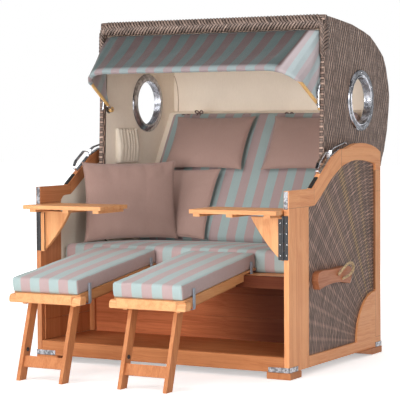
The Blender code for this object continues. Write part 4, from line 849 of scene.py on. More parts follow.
@dataclass
class Plait:
    """The herringbone plait on the hood's rim: overlapping strands that meet along the middle of the band."""

    foot: float = 1.425
    half: float = 0.6155
    top: float = 1.611
    corner: float = 0.034
    pitch: float = 0.0172
    slant: float = 0.034
    width: float = 0.0064
    spots: list[tuple[Vector, Vector]] = field(default_factory=list)
    runs: list[float] = field(default_factory=list)

    def line(self) -> list[tuple[Vector, Vector]]:
        """The band's middle from the left foot over the top to the right foot: its points and outward directions."""
        shoulder, wide = self.top - self.corner, self.half - self.corner
        rise = [(shoulder - self.foot) * i / 10 for i in range(10)]
        spots = [(Vector((-self.half, 0, self.foot + up)), -RIGHT) for up in rise]
        for side in (-1, 1):
            for i in range(9):
                turn = math.pi / 2 * (i if side < 0 else 8 - i) / 8
                out = Vector((side * math.cos(turn), 0, math.sin(turn)))
                spots.append((Vector((side * wide, 0, shoulder)) + out * self.corner, out))
            if side < 0:
                spots += [(Vector((wide * (2 * i / 60 - 1), 0, self.top)), UP) for i in range(1, 60)]
        return spots + [(Vector((self.half, 0, self.foot + up)), RIGHT) for up in rise[::-1]]

    def place(self, run: float, across: float, lift: float) -> tuple[Vector, Vector]:
        """A point on the band, and the way that the band faces there.

        Args:
            run: how far along the band, in metres.
            across: from -1 at the opening's edge to 1 at the outer edge.
            lift: how far the strand stands off the band.
        """
        run = min(max(run, 0.0), self.runs[-1] - 1e-6)
        number = int(np.searchsorted(self.runs, run, side="right")) - 1
        share = (run - self.runs[number]) / (self.runs[number + 1] - self.runs[number])
        middle, out = (a.lerp(b, share) for a, b in zip(self.spots[number], self.spots[number + 1]))
        out.normalize()
        upright = abs(out.x)
        inner, outer, deep = 0.034 - 0.0165 * upright, 0.030 - 0.023 * upright, 0.014 + 0.028 * upright
        bulge = math.cos(across * math.pi / 2)
        point = middle + out * (across * (outer if across > 0 else inner))
        point.y = hood_front(middle.z) - 0.002 - 0.0075 * bulge + (deep * across ** 2 if across > 0 else 0.0)
        facing = Vector((out.x * max(0.0, across), -1.0, out.z * max(0.0, across))).normalized()
        return point + facing * lift, facing

    def build(self, material: bpy.types.Material) -> bpy.types.Object:
        """Lays every strand."""
        self.spots = self.line()
        self.runs = [0.0]
        for (before, _), (after, _) in zip(self.spots, self.spots[1:]):
            self.runs.append(self.runs[-1] + (after - before).length)
        parts, tone_and_painted_light = [], []
        section = [(x, y * 0.50) for x, y in circle(self.width)]
        sines = [math.sin(math.tau * i / 8) for i in range(8)]
        edge = [max(0.0, sine) * abs(sine) for sine in sines]
        for number in range(int((self.runs[-1] - self.slant) / self.pitch)):
            for side in (-1, 1):
                start = number * self.pitch + (self.pitch / 2 if side < 0 else 0.0)
                path = []
                for step in range(10):
                    share = step / 9
                    across = side * (1.0 - share * 1.14)
                    lift = 0.0040 * math.sin(min(1.0, share * 1.1) * math.pi) - (0.0045 if share > 0.9 else 0.0)
                    path.append(self.place(start + self.slant * share, across, lift))
                parts.append(sweep([at(*point) for point, _ in path], section, path[0][1]))
                # Each strand has its own tone; on top of it, painted light on the half of its section that faces out
                # and painted shade on the half turned away.
                own = 0.55 + 0.55 * ripple((number * 1.7, side * 3.1, 0), 1.3, 4.0)
                tone_and_painted_light += [own * (0.85 * high + 0.02) - 0.25 * (1 - high) for high in edge] * 10
        plait = shape("rim_plait", *gather(parts), material, "hood", "wicker")
        carry(plait, "tone", tone_and_painted_light)
        LOG.info("plait: %d strands", len(parts))
        return plait


@dataclass
class Porthole:
    """The steel lining of one porthole: a ridged tunnel, a flange inside and out, and the screws that hold them."""

    side: Side
    centre: tuple[float, float] = (0.911, 1.243)
    opening: float = 0.1185
    inside: float = 0.584
    outside: float = 0.6245
    face: float = 0.5955
    screws: int = 6
    screw_circle: float = 0.136

    def spot(self, x: float, radius: float, turn: float) -> Vector:
        """A point around the porthole's middle."""
        return at(x * self.side.value, self.centre[0] + radius * math.cos(turn),
                  self.centre[1] + radius * math.sin(turn))

    def ring(self, profile: list[tuple[float, float]], corners: int = 56) -> tuple[list, list]:
        """Turns a closed profile of radius and x around the porthole's middle."""
        deep = len(profile)
        points = [self.spot(x, radius, math.tau * i / corners) for i in range(corners) for radius, x in profile]
        faces = []
        for i in range(corners):
            first, second = i * deep, (i + 1) % corners * deep
            for j in range(deep):
                k = (j + 1) % deep
                faces.append((first + j, second + j, second + k, first + k))
        return points, faces

    def build(self, steel: bpy.types.Material, dark: bpy.types.Material) -> None:
        """Builds tunnel, inner flange and screws."""
        word, deep = self.side.word, self.outside - self.inside
        tunnel = [(self.opening + 0.0012, self.inside), (self.opening + 0.0012, self.outside)]
        for i in range(25):
            share = i / 24
            ridge = 0.0024 * math.sin(share * math.pi * 6) ** 2
            tunnel.append((self.opening - 0.003 - ridge, self.outside - deep * share))
        shape("porthole_tunnel_" + word, *self.ring(tunnel), steel, "hood", "bright_metal")
        face, bore, rim = self.face, self.opening + 0.001, 0.151
        flange = [(bore, face), (bore, self.inside), (0.128, self.inside + 0.001), (0.147, face - 0.005),
                  (rim, face - 0.002), (rim, face)]
        shape("porthole_flange_" + word, *self.ring(flange), steel, "hood", "bright_metal")
        heads = []
        for i in range(self.screws):
            turn = math.tau * (i + 0.5) / self.screws
            for x, out in ((self.outside, 1), (face - 0.0055, -1)):
                middle, axis = self.spot(x, self.screw_circle, turn), RIGHT * out * self.side.value
                path = [middle + axis * part for part in (-0.003, 0.0005, 0.0018)]
                heads.append(sweep(path, circle(0.0046, 10), UP, scales=[1.0, 1.0, 0.55]))
        shape("porthole_screws_" + word, *gather(heads), dark, "hood", "bright_metal")


def dome(middle: Vector, axis: Vector, radius: float, height: float) -> tuple[list, list]:
    """The points and faces of a small round head."""
    up = UP if abs(axis.z) < 0.9 else BACK
    path = [at(*middle) + axis * part for part in (-0.0015, height * 0.4, height * 0.8, height)]
    return sweep(path, circle(radius, 12), up, scales=[1.0, 1.0, 0.75, 0.25])


@dataclass
class Fittings:
    """The small metal parts, straps, strips and ropes of one side of the chair."""

    side: Side
    made: dict[str, bpy.types.Material]
    wall: float = 0.675
    pivot: tuple[float, float] = (0.530, 1.208)
    arm: tuple[float, float] = (-0.8497, 0.5274)
    lay: float = 0.034
    knots: ClassVar[dict[Side, tuple[tuple[float, float], ...]]] = {
        Side.LEFT: ((-0.450, 1.170), (-0.371, 1.190), (-0.086, 1.168)), Side.RIGHT: ((0.157, 1.176), (0.400, 1.168))}

    @property
    def rest(self) -> float:
        """The middle of this side's footrest, across."""
        return 0.265 * self.side.value - 0.0195

    def x(self, value: float) -> float:
        """A distance from the middle, on this side."""
        return value * self.side.value

    def line(self, points: list[Point] | tuple[Point, ...], steps: int) -> list[Vector]:
        """A smooth line through points of this side."""
        return rounded_path([at(self.x(x), y, z) for x, y, z in points], steps)

    def add(self, stem: str, parts: list[tuple[list, list]], finish: str, body: str, slot: str, soft: float = 0.0,
            smooth: bool = True) -> bpy.types.Object:
        """Makes one of this side's pieces.

        Args:
            stem: its name without the side.
            parts: its points and faces, part by part.
            finish: the name of its finish.
            body: the body that it rides on.
            slot: the record's material slot.
            soft: how far its edges are rounded.
            smooth: whether it is shaded smooth.

        Returns:
            The piece.
        """
        piece = shape(f"{stem}_{self.side.word}", *gather(parts), self.made[finish], body, slot, smooth)
        return softened(piece, soft) if soft else piece

    def plates(self) -> None:
        """Corner plates above the feet, with their screws."""
        skin, foot, top, screws = 0.0032, 0.0318, 0.0545, 0.0425
        outer = self.x(self.wall + skin)
        for word, way, low, high, near, far, inner in (("front", -1, -skin, 0.085, -skin, -0.0004, 0.572),
                                                       ("rear", 1, 0.955, 1.0262, 1.0234, 1.0262, 0.600)):
            face = near if way < 0 else far
            parts = [block((self.x(inner), near, foot), (outer, far, top)),
                     block((self.x(self.wall + 0.0004), low, foot), (outer, high, top))]
            parts += [dome(Vector((self.x(x), face, screws)), BACK * way, 0.0040, 0.0016)
                      for x in (0.585, 0.610, 0.636, 0.661) if x > inner]
            parts += [dome(Vector((outer, y, screws)), RIGHT * self.side.value, 0.0040, 0.0016)
                      for y in (low + 0.018, (low + high) / 2, high - 0.014)]
            self.add("foot_plate_" + word, parts, "metal_plate", "base", "bright_metal", 0.0007, smooth=False)

    def strips(self) -> None:
        """The black strip on the sloped arm."""
        lift = 0.0024
        path = self.line([(0.663, y, z + lift) for y, z in
                          ((0.238, 0.840), (0.262, 0.8561), (0.290, 0.8749), (0.306, 0.8856))], 6)
        strip = sweep(path, [(-0.0095, -0.002), (0.0095, -0.002), (0.0095, 0.001), (0.006, 0.0026), (-0.006, 0.0026),
                             (-0.0095, 0.001)], Vector((0, -0.5, 0.8)))
        self.add("arm_strip", [strip], "rubber", "base", "black_metal", smooth=False)

    def hinge(self) -> None:
        """The screws on the two leaves of the table's hinge, and on the left the wooden facing over them."""
        table = "table_" + self.side.word
        if self.side is Side.LEFT:
            facing = block((-0.6400, -0.0128, 0.5305), (-0.6205, -0.0102, 0.7165))
            softened(shape("bracket_facing", *facing, self.made["timber_upright"], table, "teak", smooth=False), 0.0012)
            return
        for word, x, body in (("fixed", 0.6640, "base"), ("moving", 0.6335, table)):
            heads = [dome(Vector((self.x(x), -0.0028, 0.552 + 0.048 * i)), FRONT, 0.0027, 0.0012)
                     for i in range(4)]
            self.add("hinge_screws_" + word, heads, "metal_screw", body, "bright_metal")

    def straps(self) -> None:
        """The elastic straps that hold the pad on its frame."""
        parts = []
        for y in (-0.408, 0.122):
            foot = 0.333 + (y + 0.51) * PAD_SLOPE
            for way in (-1, 1):
                edge = self.rest + way * 0.1775
                line = [at(edge + way * out, y, foot + up) for out, up in
                        ((-0.060, -0.0020), (-0.010, -0.0022), (0.0014, 0.003), (0.0022, 0.030), (0.0026, 0.062),
                         (0.0026, 0.090))]
                parts.append(sweep(rounded_path(line, 5), band(0.0110, 0.0008), -UP))
        self.add("pad_straps", parts, "elastic", "footrest_" + self.side.word, "striped_cloth")

    def nose(self) -> None:
        """The rounded board across the footrest's front edge."""
        outline = ((0.014, -0.006), (0.012, 0.004), (0.007, 0.013), (0.001, 0.017), (-0.042, 0.017), (-0.042, -0.020),
                   (0.014, -0.020))
        path = [at(self.rest + x, -0.4930, 0.3640) for x in (-0.1900, -0.1830, 0.1850, 0.1920)]
        board = sweep(path, outline, UP, scales=[0.80, 1.0, 1.0, 0.80])
        self.add("footrest_nose", [board], "timber_across", "footrest_" + self.side.word, "teak", 0.0015, smooth=False)

    def knob(self) -> None:
        """The clamping knob on the inner face of the leg frame."""
        start = at(self.rest - 0.1205, -0.4855, 0.133)
        path = [start + Vector((part, 0, 0)) for part in (0.0, 0.004, 0.006, 0.019, 0.021)]
        ridged = [(x * share, y * share) for (x, y), share in zip(circle(0.0098, 20), (0.93, 1.0) * 10)]
        knob = sweep(path, ridged, UP, scales=[0.6, 0.6, 1.0, 1.0, 0.86])
        self.add("leg_knob", [knob], "rubber", "legs_" + self.side.word, "black_metal", smooth=False)

    def ferrule(self) -> None:
        """The steel end of the bow's arm and the curved plate on the rim beside it."""
        path = [at(self.x(0.5808), self.pivot[0] + self.arm[0] * part, self.pivot[1] + self.arm[1] * part)
                for part in (0.014, 0.0145, 0.043, 0.0435)]
        end = sweep(path, circle(0.0093, 14), RIGHT, scales=[0.9, 1, 1, 0.9])
        self.add("bow_ferrule", [end], "metal_bright", "awning", "bright_metal")
        path = self.line(((0.5985, 0.4815, 1.318), (0.5955, 0.4785, 1.292), (0.5940, 0.4770, 1.262),
                          (0.5950, 0.4760, 1.232), (0.5975, 0.4755, 1.206)), 5)
        strip = sweep(path, [(-0.0055, -0.001), (0.0055, -0.001), (0.0055, 0.001), (0.0, 0.0022), (-0.0055, 0.001)],
                      FRONT)
        self.add("rim_plate", [strip], "metal_bright", "hood", "bright_metal")

    def rope(self) -> None:
        """The laid rope loop of the carry handle."""
        path = self.line(((0.6985, 0.470, 0.430), (0.7090, 0.500, 0.456), (0.7140, 0.540, 0.476),
                          (0.7150, 0.582, 0.478), (0.7150, 0.606, 0.461), (0.7140, 0.594, 0.437),
                          (0.7100, 0.556, 0.420), (0.6985, 0.518, 0.408)), 9)
        section = []
        for turn in (math.tau * i / 24 for i in range(24)):
            reach = 0.0052 + 0.0017 * abs(math.cos(turn * 1.5))
            section.append((reach * math.cos(turn), reach * math.sin(turn)))
        length = sum((after - before).length for before, after in zip(path, path[1:]))
        turns = [i * math.tau * length / self.lay / len(path) for i in range(len(path))]
        name = "rope_loop_" + self.side.word
        laid = sweep(path, section, RIGHT * self.side.value, turns=turns)
        cord = shape(name + "_laid", *laid, self.made["rope"], "base", "rope")
        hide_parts(name)

    def boards(self) -> None:
        """The inner board beside the footrest box, with the batten in its rear corner."""
        outer = self.x(0.6495)
        parts = [block((outer, 0.026, z), (self.x(0.6440), 0.4335, z + 0.0965)) for z in (0.1015, 0.1995, 0.2975)]
        parts.append(block((outer, 0.4145, 0.1015), (self.x(0.6180), 0.4342, 0.3980)))
        self.add("inner_board", parts, "timber_red", "base", "inner_wood", 0.0012, smooth=False)

    def seam(self) -> None:
        """The piped seam between the hood's side and back lining."""
        path = self.line([(x, 1.1885, z) for x, z in ((0.573, 1.150), (0.572, 1.200), (0.571, 1.260), (0.575, 1.320),
                                                      (0.584, 1.360), (0.596, 1.390))], 8)
        piping = sweep(path, circle(0.0026), FRONT)
        self.add("liner_seam", [piping], "cloth_seam", "hood", "cream_cloth")

    def pocket(self) -> None:
        """The gathered cloth pocket on the side lining."""
        columns, rows, pleats = 44, 22, 46
        points = []
        for up in (j / rows for j in range(rows + 1)):
            hang = 0.012 + 0.014 * math.sin(min(1.0, (1.05 - up)) * math.pi * 0.8)
            for share in (i / columns for i in range(columns + 1)):
                edge = min(1.0, min(share, 1 - share) / 0.06) ** 0.5
                fold = math.sin(share * pleats + 2.0 * ripple((share, 0, 0), 3.0)) * 0.0022 * (0.35 + 0.65 * up)
                x = 0.5972 - (hang * edge + fold * edge + 0.002 * edge * ripple((share, up, 0), 5.0))
                z = 0.938 + 0.172 * up + 0.003 * math.sin(share * pleats) * up ** 4
                points.append(at(self.x(x), 0.597 + 0.200 * share, z))
        sheet = (points, grid(rows + 1, columns + 1))
        piece = self.add("pocket_cloth", [sheet], "cloth_cream", "hood", "cream_cloth")
        thickened(piece, 0.0022)
        if self.side is Side.LEFT:
            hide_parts("inner_pocket")

    def ties(self) -> None:
        """The knotted bands at the top of the head pillow."""
        bow = ((0.0, 0.0, 0.0), (0.010, -0.006, 0.010), (0.021, -0.008, 0.009), (0.020, -0.002, -0.001),
               (0.009, 0.001, -0.002))
        tail = ((0.001, -0.002, 0.001), (0.007, -0.009, -0.006), (0.011, -0.012, -0.020))
        parts = []
        for x, z in self.knots[self.side]:
            for way in (-1, 1):
                loop, end = ([at(x + way * u, 1.066 + v, z + w) for u, v, w in line] for line in (bow, tail))
                parts.append(sweep(rounded_path(loop, 4, closed=True), band(0.0035, 0.0009), BACK, closed=True))
                parts.append(sweep(rounded_path(end, 4), band(0.0030, 0.0008), BACK))
            parts.append(dome(Vector((x, 1.066, z + 0.001)), FRONT, 0.0055, 0.006))
        self.add("pillow_ties", parts, "cloth_tie", "hood", "mauve_cloth")

    def build(self) -> None:
        """Builds them all."""
        for step in (self.nose, self.plates, self.strips, self.hinge, self.straps, self.knob, self.ferrule, self.rope,
                     self.boards, self.seam, self.ties):
            step()
        if self.side is Side.LEFT:
            self.pocket()
        LOG.info("fittings: %s", self.side.word)


@dataclass
class Awning:
    """The striped cloth from the hood's rim to the bow: it sags, wraps the bow's bar and round corners, and has a
    gusset at each side."""

    half: float = 0.569
    arm_x: float = 0.581
    corner: float = 0.130
    rod: float = 0.008
    thick: float = 0.003
    side_x: float = 0.594
    foot: float = 1.250
    top: float = 1.572
    pivot: tuple[float, float] = (0.530, 1.208)
    bar: tuple[float, float] = (0.240, 1.388)
    sag: float = 0.012
    folds: tuple[float, float, float] = (0.0045, 0.0020, 0.0042)
    rows: int = 24
    cuts: int = 9
    shoulder: tuple[tuple[float, float], ...] = ((1.0, 0.0), (1.0, 0.5), (0.985, 0.95), (0.93, 1.0), (0.86, 1.0),
                                                 (0.79, 1.0))

    def marks(self) -> list[tuple[Vector, Vector, Vector]]:
        """The bow's right half, from the arm's foot to the middle.

        Returns:
            Points of the bow, the bow's direction there, and the hood's point that each one hangs from.
        """
        run = Vector((self.bar[0] - self.pivot[0], self.bar[1] - self.pivot[1]))
        reach = run.length
        run.normalize()
        straight, side_top = reach - self.corner, self.foot + (self.top - self.foot) * 0.68
        flat = [((self.arm_x + (self.half - self.arm_x) * share, straight * share), (0, 1),
                 (self.side_x, self.foot + (side_top - self.foot) * share)) for share in (0.14, 0.42, 0.7)]
        for step, (across, up) in enumerate(self.shoulder):
            turn = math.pi / 2 * step / 5
            flat.append(((self.half - self.corner * (1 - math.cos(turn)), straight + self.corner * math.sin(turn)),
                         (-math.sin(turn), math.cos(turn)),
                         (self.side_x * across, side_top + (self.top - side_top) * up)))
        flat += [(((self.half - self.corner) * share, reach), (-1, 0), (self.side_x * 0.79 * share, self.top))
                 for share in (0.8, 0.6, 0.4, 0.2, 0.0)]
        return [(Vector((x, self.pivot[0] + run.x * along, self.pivot[1] + run.y * along)),
                 Vector((aside, run.x * ahead, run.y * ahead)).normalized(),
                 Vector((hood_x, hood_front(hood_z) + 0.0165, hood_z)))
                for (x, along), (aside, ahead), (hood_x, hood_z) in flat]

    def section(self, centre: Vector, along: Vector, rear: Vector, side: int) -> list[Vector]:
        """One line of the cloth, from the hood over the bow and under it.

        Args:
            centre: the bow's point.
            along: the bow's direction.
            rear: the hood's point.
            side: 1 on the right, -1 on the left.
        """
        fall = centre - rear
        fall = (fall - along * fall.dot(along)).normalized()
        out = along.cross(fall).normalized()
        clear = self.rod + self.thick * 0.9
        arm = max(0.0, min(1.0, (self.bar[1] - 0.048 - centre.z) / 0.03))
        lead = centre + out * clear * (1 - 0.45 * arm) - fall * (self.rod + 0.004) * arm
        corner = math.exp(-(max(0.0, self.half - abs(centre.x)) / 0.10) ** 2)
        broad, fine, sharp = self.folds
        above = centre.z - self.pivot[1]
        gusset = max(0.0, 1 - above / 0.12)
        sag = self.sag * (1 - 1.5 * corner * min(1.0, above / 0.10))
        line = []
        for row in range(self.rows + 1):
            share = row / self.rows
            slack = math.sin(share * math.pi)
            here = rear.lerp(lead, share) - out * slack * sag
            spot = (centre.x * 0.9, share * 0.16, centre.z * 0.6)
            here += out * slack * (broad * ripple(spot, 8.0, 3.0 + side) + fine * ripple(spot, 26.0, 6.0 + side))
            crease = math.sin(centre.x * 95 + rear.z * 60 + share * 4.0) * corner * (1 - gusset * 0.5)
            here += out * slack * crease * sharp
            line.append(here)
        for step in range(1, 11):
            turn = math.radians(step * 17)
            under = (centre + out * clear * math.cos(turn) + fall * clear * math.sin(turn)
                     * (1 + 0.10 * ripple((centre.x, step * 0.01, side), 30.0, 2.0)))
            line.append(under.lerp(lead + (fall * 0.0004 + out * 0.0001) * step, min(1.0, arm * 1.6)))
        return [Vector((point.x * side, point.y, point.z)) for point in line]

    def build(self, material: bpy.types.Material) -> bpy.types.Object:
        """Builds the cloth with its sag, folds and hem."""
        marks = self.marks()
        right = []
        for (centre_a, along_a, rear_a), (centre_b, along_b, rear_b) in zip(marks, marks[1:]):
            for cut in range(self.cuts):
                share = cut / self.cuts
                right.append((centre_a.lerp(centre_b, share), along_a.lerp(along_b, share).normalized(),
                              rear_a.lerp(rear_b, share)))
        right.append(marks[-1])
        rows = [self.section(*spot, 1) for spot in right] + [self.section(*spot, -1) for spot in right[-2::-1]]
        for right_point, left_point in zip(rows[len(right) - 2], rows[len(right)]):
            right_point.z = left_point.z = (right_point.z + left_point.z) / 2
        deep = len(rows[0])
        cloth = shape("awning_sheet", [at(*point) for row in rows for point in row], grid(len(rows), deep), material,
                      "hood", "striped_cloth")
        cloth.parent = None
        cloth.matrix_world = Matrix.Identity(4)
        runs = [0.0]
        for (before, _, _), (after, _, _) in zip(right[::-1], right[-2::-1]):
            runs.append(runs[-1] + (after - before).length)
        runs = runs[::-1] + [-part for part in runs[1:]]
        carry(cloth, "run", [part for part in runs for _ in range(deep)])
        # The shade mark paints shade: 1 across the awning's top, 0 over the right gusset and a shorter stretch on the
        # left, and about a third on the hem rows under the bow.
        shades = []
        for i in range(len(rows)):
            inner = min(1.0, (i - 6.3 * self.cuts) / 3, (len(rows) - 1 - 3.6 * self.cuts - i) / 3)
            shades += [max(0.0, inner) * (1.0 - 0.66 * max(0.0, min(1.0, (j - self.rows + 2) / 1.5)))
                       for j in range(deep)]
        carry(cloth, "shade", shades)
        thickened(cloth, self.thick)
        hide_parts("awning_cloth")
        start, end = at(0, hood_front(1.53) + 0.02, 1.56), at(0, self.bar[0] + 0.03, self.bar[1] + 0.02)
        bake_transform(cloth)
        return cloth


@dataclass
class Studio:
    """The pale floor, the soft lamps and the camera."""

    camera_place: Point = (3.8809, -6.4964, 1.1550)
    yaw: float = 29.3345
    pitch: float = 2.8022
    roll: float = -0.3496
    lens: float = 148.30
    shift: tuple[float, float] = (-0.0013, 0.0003)
    glow: float = 0.45
    lamps: tuple[tuple[str, Point, Point, float, float], ...] = (
        ("key", (-2.6, -4.6, 3.6), (0, 0, 0.7), 3.0, 135),
        ("low", (0.4, -5.6, 0.95), (0, 0, 0.95), 1.8, 170),
        ("fill", (4.6, -3.0, 2.2), (0, 0, 0.8), 3.0, 84),
        ("above", (0.3, 0.6, 4.6), (0, 0, 0.8), 3.4, 22),
        ("behind", (-0.5, 4.6, 2.6), (0, 0, 0.9), 3.0, 50),
    )

    def camera(self) -> None:
        """Sets the camera at the photograph's angle."""
        yaw, pitch, roll = (math.radians(part) for part in (self.yaw, self.pitch, self.roll))
        ahead = Vector((-math.sin(yaw) * math.cos(pitch), math.cos(yaw) * math.cos(pitch), -math.sin(pitch)))
        flat = Vector((math.cos(yaw), math.sin(yaw), 0))
        up = flat.cross(ahead)
        right = flat * math.cos(roll) + up * math.sin(roll)
        top = -flat * math.sin(roll) + up * math.cos(roll)
        data = bpy.data.cameras.new("camera")
        data.lens = self.lens
        data.sensor_width = 36.0
        data.shift_x, data.shift_y = self.shift
        data.clip_end = 60
        eye = placed("camera", data)
        matrix = Matrix((right, top, -ahead)).transposed().to_4x4()
        matrix.translation = at(*self.camera_place)
        eye.matrix_world = matrix
        bpy.context.scene.camera = eye

    def floor(self) -> None:
        """Lays a white floor that keeps the chair's shadow."""
        g = Graph("floor_white")
        seen = g.math("MAXIMUM", g.ray("Camera"), g.ray("Glossy"))
        away = g.vector("LENGTH", g.place, output="Value")
        g.feed(g.shader.inputs["Emission Color"], (1.0, 1.0, 1.0))
        g.feed(g.shader.inputs["Emission Strength"], seen * g.between(away, 1.2, 5.0, self.glow, 1.0))
        colour = g.mix(seen, (0.72, 0.72, 0.72), (0.97, 0.97, 0.97))
        material = g.finish(colour, 0.9, Specular_IOR_Level=0.1)
        mesh = bpy.data.meshes.new("floor")
        mesh.from_pydata([(-30, -30, 0), (30, -30, 0), (30, 30, 0), (-30, 30, 0)], [], [(0, 1, 2, 3)])
        mesh.materials.append(material)
        floor = placed("floor", mesh)
        floor.location.z = -0.0005

    def lamp(self, name: str, place: Point, target: Point, size: float, power: float) -> None:
        """Hangs one square soft lamp."""
        data = bpy.data.lights.new(name, "AREA")
        data.shape = "SQUARE"
        data.size = size
        data.energy = power
        lamp = placed(name, data)
        lamp.location = place
        lamp.rotation_euler = (Vector(target) - Vector(place)).to_track_quat("-Z", "Y").to_euler()

    def build(self) -> None:
        """Sets up camera, floor, lamps and world."""
        self.camera()
        self.floor()
        for lamp in self.lamps:
            self.lamp(*lamp)
        g = Graph("studio", "worlds", "Background")
        seen = g.math("MAXIMUM", g.ray("Camera"), g.ray("Transmission"))
        power = g.node("ShaderNodeMapRange", {0: seen, 3: 0.42, 4: 1.0})
        spot = g.node("ShaderNodeTexCoord", output="Generated")
        bands = g.node("ShaderNodeTexWave", {"Vector": spot, "Scale": 0.55, "Distortion": 3.0}, "Fac",
                       bands_direction="Z")
        g.feed(g.shader.inputs["Color"], (1.0, 1.0, 1.0))
        g.feed(g.shader.inputs["Strength"], g.math("MULTIPLY_ADD", g.ray("Glossy") * bands, -0.40, power))
        bpy.context.scene.world = g.owner
        bpy.context.scene.view_settings.view_transform = "Standard"
        LOG.info("studio: camera, floor, %d lamps", len(self.lamps))


def plank(grain: Point, low: tuple[float, float], high: tuple[float, float]) -> Plank:
    """A board of a side frame, from its lowest to its highest y and z."""
    return Plank(grain, (-FAR, low[0] - DEPTH_SHIFT, low[1]), (FAR, high[0] - DEPTH_SHIFT, high[1]))


SIDE_PLANKS = (
    Plank((0, 1, 0)),
    plank((0, 0, 1), (-1, -1), (0.203, 0.760)),
    plank((0, 0.84, 0.54), (0.262, 0.735), (0.560, 2)),
    plank((0, 1, -0.02), (0.560, 0.80), (1.2, 2)),
    plank((0, 0, 1), (0.960, 0.082), (1.2, 0.900)),
)


# The solids that wear each finish, with * for left and right.
WORN = {
    "timber_side": "side_frame_right",
    "timber_shaded": "side_frame_left",
    "timber_upright": "table_bracket_*",
    "timber_red": "leg_frame_* foot_front_* foot_rear_*",
    "timber_across": "table_top_* rear_panel",
    "timber_sill": "front_sill base_floor",
    "timber_frame": "footrest_frame_*",
    "timber_long": "seat_bearer_* seat_deck",
    "timber_handle": "carry_handle_*",
    "timber_bow": "awning_bow",
    "timber_inside": "box_back_wall seat_front_rail",
    "wicker_fan": "side_wicker_*",
    "wicker_hood": "hood_shell hood_rim",
    "cloth_cream": "side_liner_* inner_pocket",
    "cloth_liner": "hood_liner",
    "metal_ring": "porthole_ring_*",
    "metal_plate": "arm_cap_* awning_bracket_*",
    "metal_bright": "catch_rail_* hood_pivot_*",
    "metal_black": "table_hinge_* table_hinge_leaf_*",
    "rope": "rope_loop_*",
}


@dataclass
class Finishes:
    """All the finishes, made once."""

    made: dict[str, bpy.types.Material] = field(default_factory=dict)

    def build(self) -> None:
        """Makes each finish."""
        mauve = (0.350, 0.225, 0.192)
        pink = (0.450, 0.330, 0.325)
        mint = (0.365, 0.455, 0.450)
        pad_side = (0.385, 0.285, 0.275)
        red_pale, red_dark = (0.560, 0.225, 0.090), (0.400, 0.130, 0.045)
        across, long = (Plank((1, 0, 0)),), (Plank((0, 1, 0)),)
        for finish in (
            Timber("timber_upright"),
            # Painted light: the right side frame gets a paler copy of the side frames' wood; the left frame's copy is
            # timber_shaded.
            Timber("timber_side", pale=(0.930, 0.430, 0.185), dark=(0.720, 0.250, 0.085), dim_sides=0.12,
                   planks=SIDE_PLANKS, tone=0.4),
            Timber("timber_across", planks=across, tone=0.8),
            Timber("timber_long", planks=long, tone=1.3),
            Timber("timber_bow", pale=(0.80, 0.50, 0.20), dark=(0.62, 0.33, 0.10), tone=1.7),
            Timber("timber_inside", fade=0.85, pale=(0.660, 0.215, 0.088), dark=(0.400, 0.105, 0.038), planks=across,
                   tone=2.1, gloss=0.10),
            Timber("timber_red", pale=red_pale, dark=red_dark, tone=2.6, gloss=0.20),
            Timber("timber_sill", pale=red_pale, dark=red_dark, planks=across, tone=2.9, gloss=0.15),
            Timber("timber_frame", planks=long, tone=3.3, dim_sides=0.45),
            Timber("timber_handle", pale=(0.520, 0.190, 0.080), dark=(0.340, 0.105, 0.040), planks=long, tone=4.4),
            # Painted shade: the left side frame gets a darker, redder copy of the side frames' wood.
            Timber("timber_shaded", pale=red_pale, dark=red_dark, planks=SIDE_PLANKS, tone=3.8),
            Wicker("wicker_fan", Weave.FAN, pale=(0.680, 0.420, 0.325), dark=(0.140, 0.074, 0.050)),
            Wicker("wicker_hood", Weave.HOOD, rib=0.0290, row=0.0125, depth=0.0046, pale=(0.790, 0.560, 0.450)),
            Wicker("wicker_strand", Weave.STRAND, pale=(0.370, 0.255, 0.205), dark=(0.110, 0.064, 0.048)),
            Cloth("cloth_cream", (0.800, 0.705, 0.590), thread=0.0009),
            Cloth("cloth_liner", (0.930, 0.815, 0.690), thread=0.0009),
            Cloth("cloth_seat", mint, pink, width=0.0493, offset=0.069),
            # Painted shade: the back cushion's cloth is the same mint and pink at 0.8 of their colour, for the shade
            # under the hood.
            Cloth("cloth_back", darker(mint, 0.80), darker(pink, 0.80), width=0.0499, offset=-0.010, seam=-0.420),
            Cloth("cloth_awning", mint, pink, width=0.0488, offset=0.000, run="run", shaded=0.62),
            Cloth("cloth_pad_left", mint, pink, width=0.0507, offset=-0.2845 - 0.1268, side=pad_side),
            Cloth("cloth_pad_right", mint, pink, width=0.0507, offset=0.2455 - 0.1268, side=pad_side),
            Cloth("cloth_mauve", mauve, crease=0.006),
            Metal("metal_bright", (0.66, 0.66, 0.69), smoky=0.55),
            Metal("metal_ring", (0.56, 0.57, 0.62), rough=0.13, brushed=(900.0, 20.0, 20.0), smoky=0.45),
            Metal("metal_black", (0.018, 0.018, 0.020), rough=0.42, metallic=0.0),
            Metal("metal_plate", (0.50, 0.50, 0.53), rough=0.20, smoky=0.62),
            Metal("metal_screw", (0.80, 0.80, 0.82)),
            Metal("rubber", (0.016, 0.014, 0.014), rough=0.55, metallic=0.0),
            Cloth("elastic", (0.270, 0.300, 0.350), thread=0.0018),
            Cloth("cloth_tie", (0.165, 0.100, 0.085)),
            Cloth("cloth_seam", (0.560, 0.430, 0.330), thread=0.0009),
            Twine("rope", (0.680, 0.480, 0.270)),
        ):
            self.made[finish.name] = finish.material()
        LOG.info("finishes: %d", len(self.made))

    def dress(self) -> None:
        """Gives every solid that stays its finish."""
        for finish, stems in WORN.items():
            for stem in stems.split():
                for node in dict.fromkeys(stem.replace("*", side.word) for side in Side):
                    slots = NODES[node].material_slots
                    for slot in slots:
                        slot.material = self.made[finish]
                    if not slots:
                        NODES[node].data.materials.append(self.made[finish])


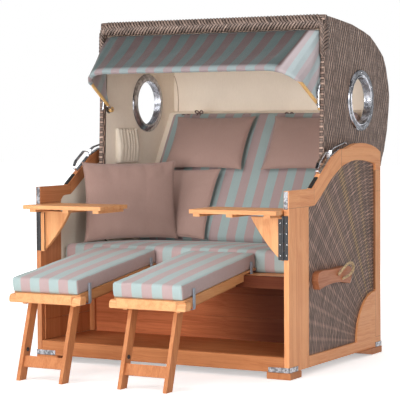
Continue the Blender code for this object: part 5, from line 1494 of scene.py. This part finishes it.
def upholstery(finishes: Finishes) -> None:
    """Builds every cushion and pillow."""
    flat = Matrix.Rotation(-math.pi / 2, 3, "X")
    tilt = Matrix.Rotation(-math.atan(0.61), 3, "X")
    rear_tilt = Matrix.Rotation(-math.radians(27), 3, "X")
    made = finishes.made
    BoxCushion("seat_cushion", "base", flat, edge_round=0.022, crown=0.012, cells=(96, 10, 48), taper=0.026,
               flare=0.100, seed=1.0).build(made["cloth_seat"], "striped_cloth")
    BoxCushion("back_cushion", "hood", tilt, edge_round=0.022, crown=0.012, cells=(90, 8, 56), taller=0.040,
               seed=2.0).build(made["cloth_back"], "striped_cloth")
    for side in Side:
        BoxCushion("footrest_pad_" + side.word, "footrest_" + side.word,
                   Matrix.Rotation(math.atan(PAD_SLOPE), 3, "X") @ flat, edge_round=0.010, crown=0.006,
                   cells=(28, 8, 60), seed=3.0 + side.value).build(made["cloth_pad_" + side.word], "striped_cloth")
        Pillow("head_pillow_" + side.word, "hood", tilt, fill=0.6, cells=(44, 1, 30),
               seed=5.0 + side.value).build(made["cloth_mauve"], "mauve_cloth")
    turn = Matrix.Rotation(math.radians(52.6), 3, "Z") @ Matrix.Rotation(math.radians(-4), 3, "X")
    Pillow("scatter_cushion_front", "base", turn, fill=0.75, cells=(48, 1, 40),
           seed=8.0).build(made["cloth_mauve"], "mauve_cloth")
    Pillow("scatter_cushion_rear", "base", rear_tilt, fill=0.75, cells=(40, 1, 40),
           seed=9.0).build(made["cloth_mauve"], "mauve_cloth")


def main() -> None:
    """Builds the chair's visible pieces around the model."""
    logging.basicConfig(level=logging.INFO, format="%(name)s: %(message)s")
    Studio().build()
    finishes = Finishes()
    finishes.build()
    finishes.dress()
    upholstery(finishes)
    Awning().build(finishes.made["cloth_awning"])
    Plait().build(finishes.made["wicker_strand"])
    for side in Side:
        Porthole(side).build(finishes.made["metal_ring"], finishes.made["metal_bright"])
        Fittings(side, finishes.made).build()
    bpy.context.view_layer.update()


if __name__ == "__main__":
    main()
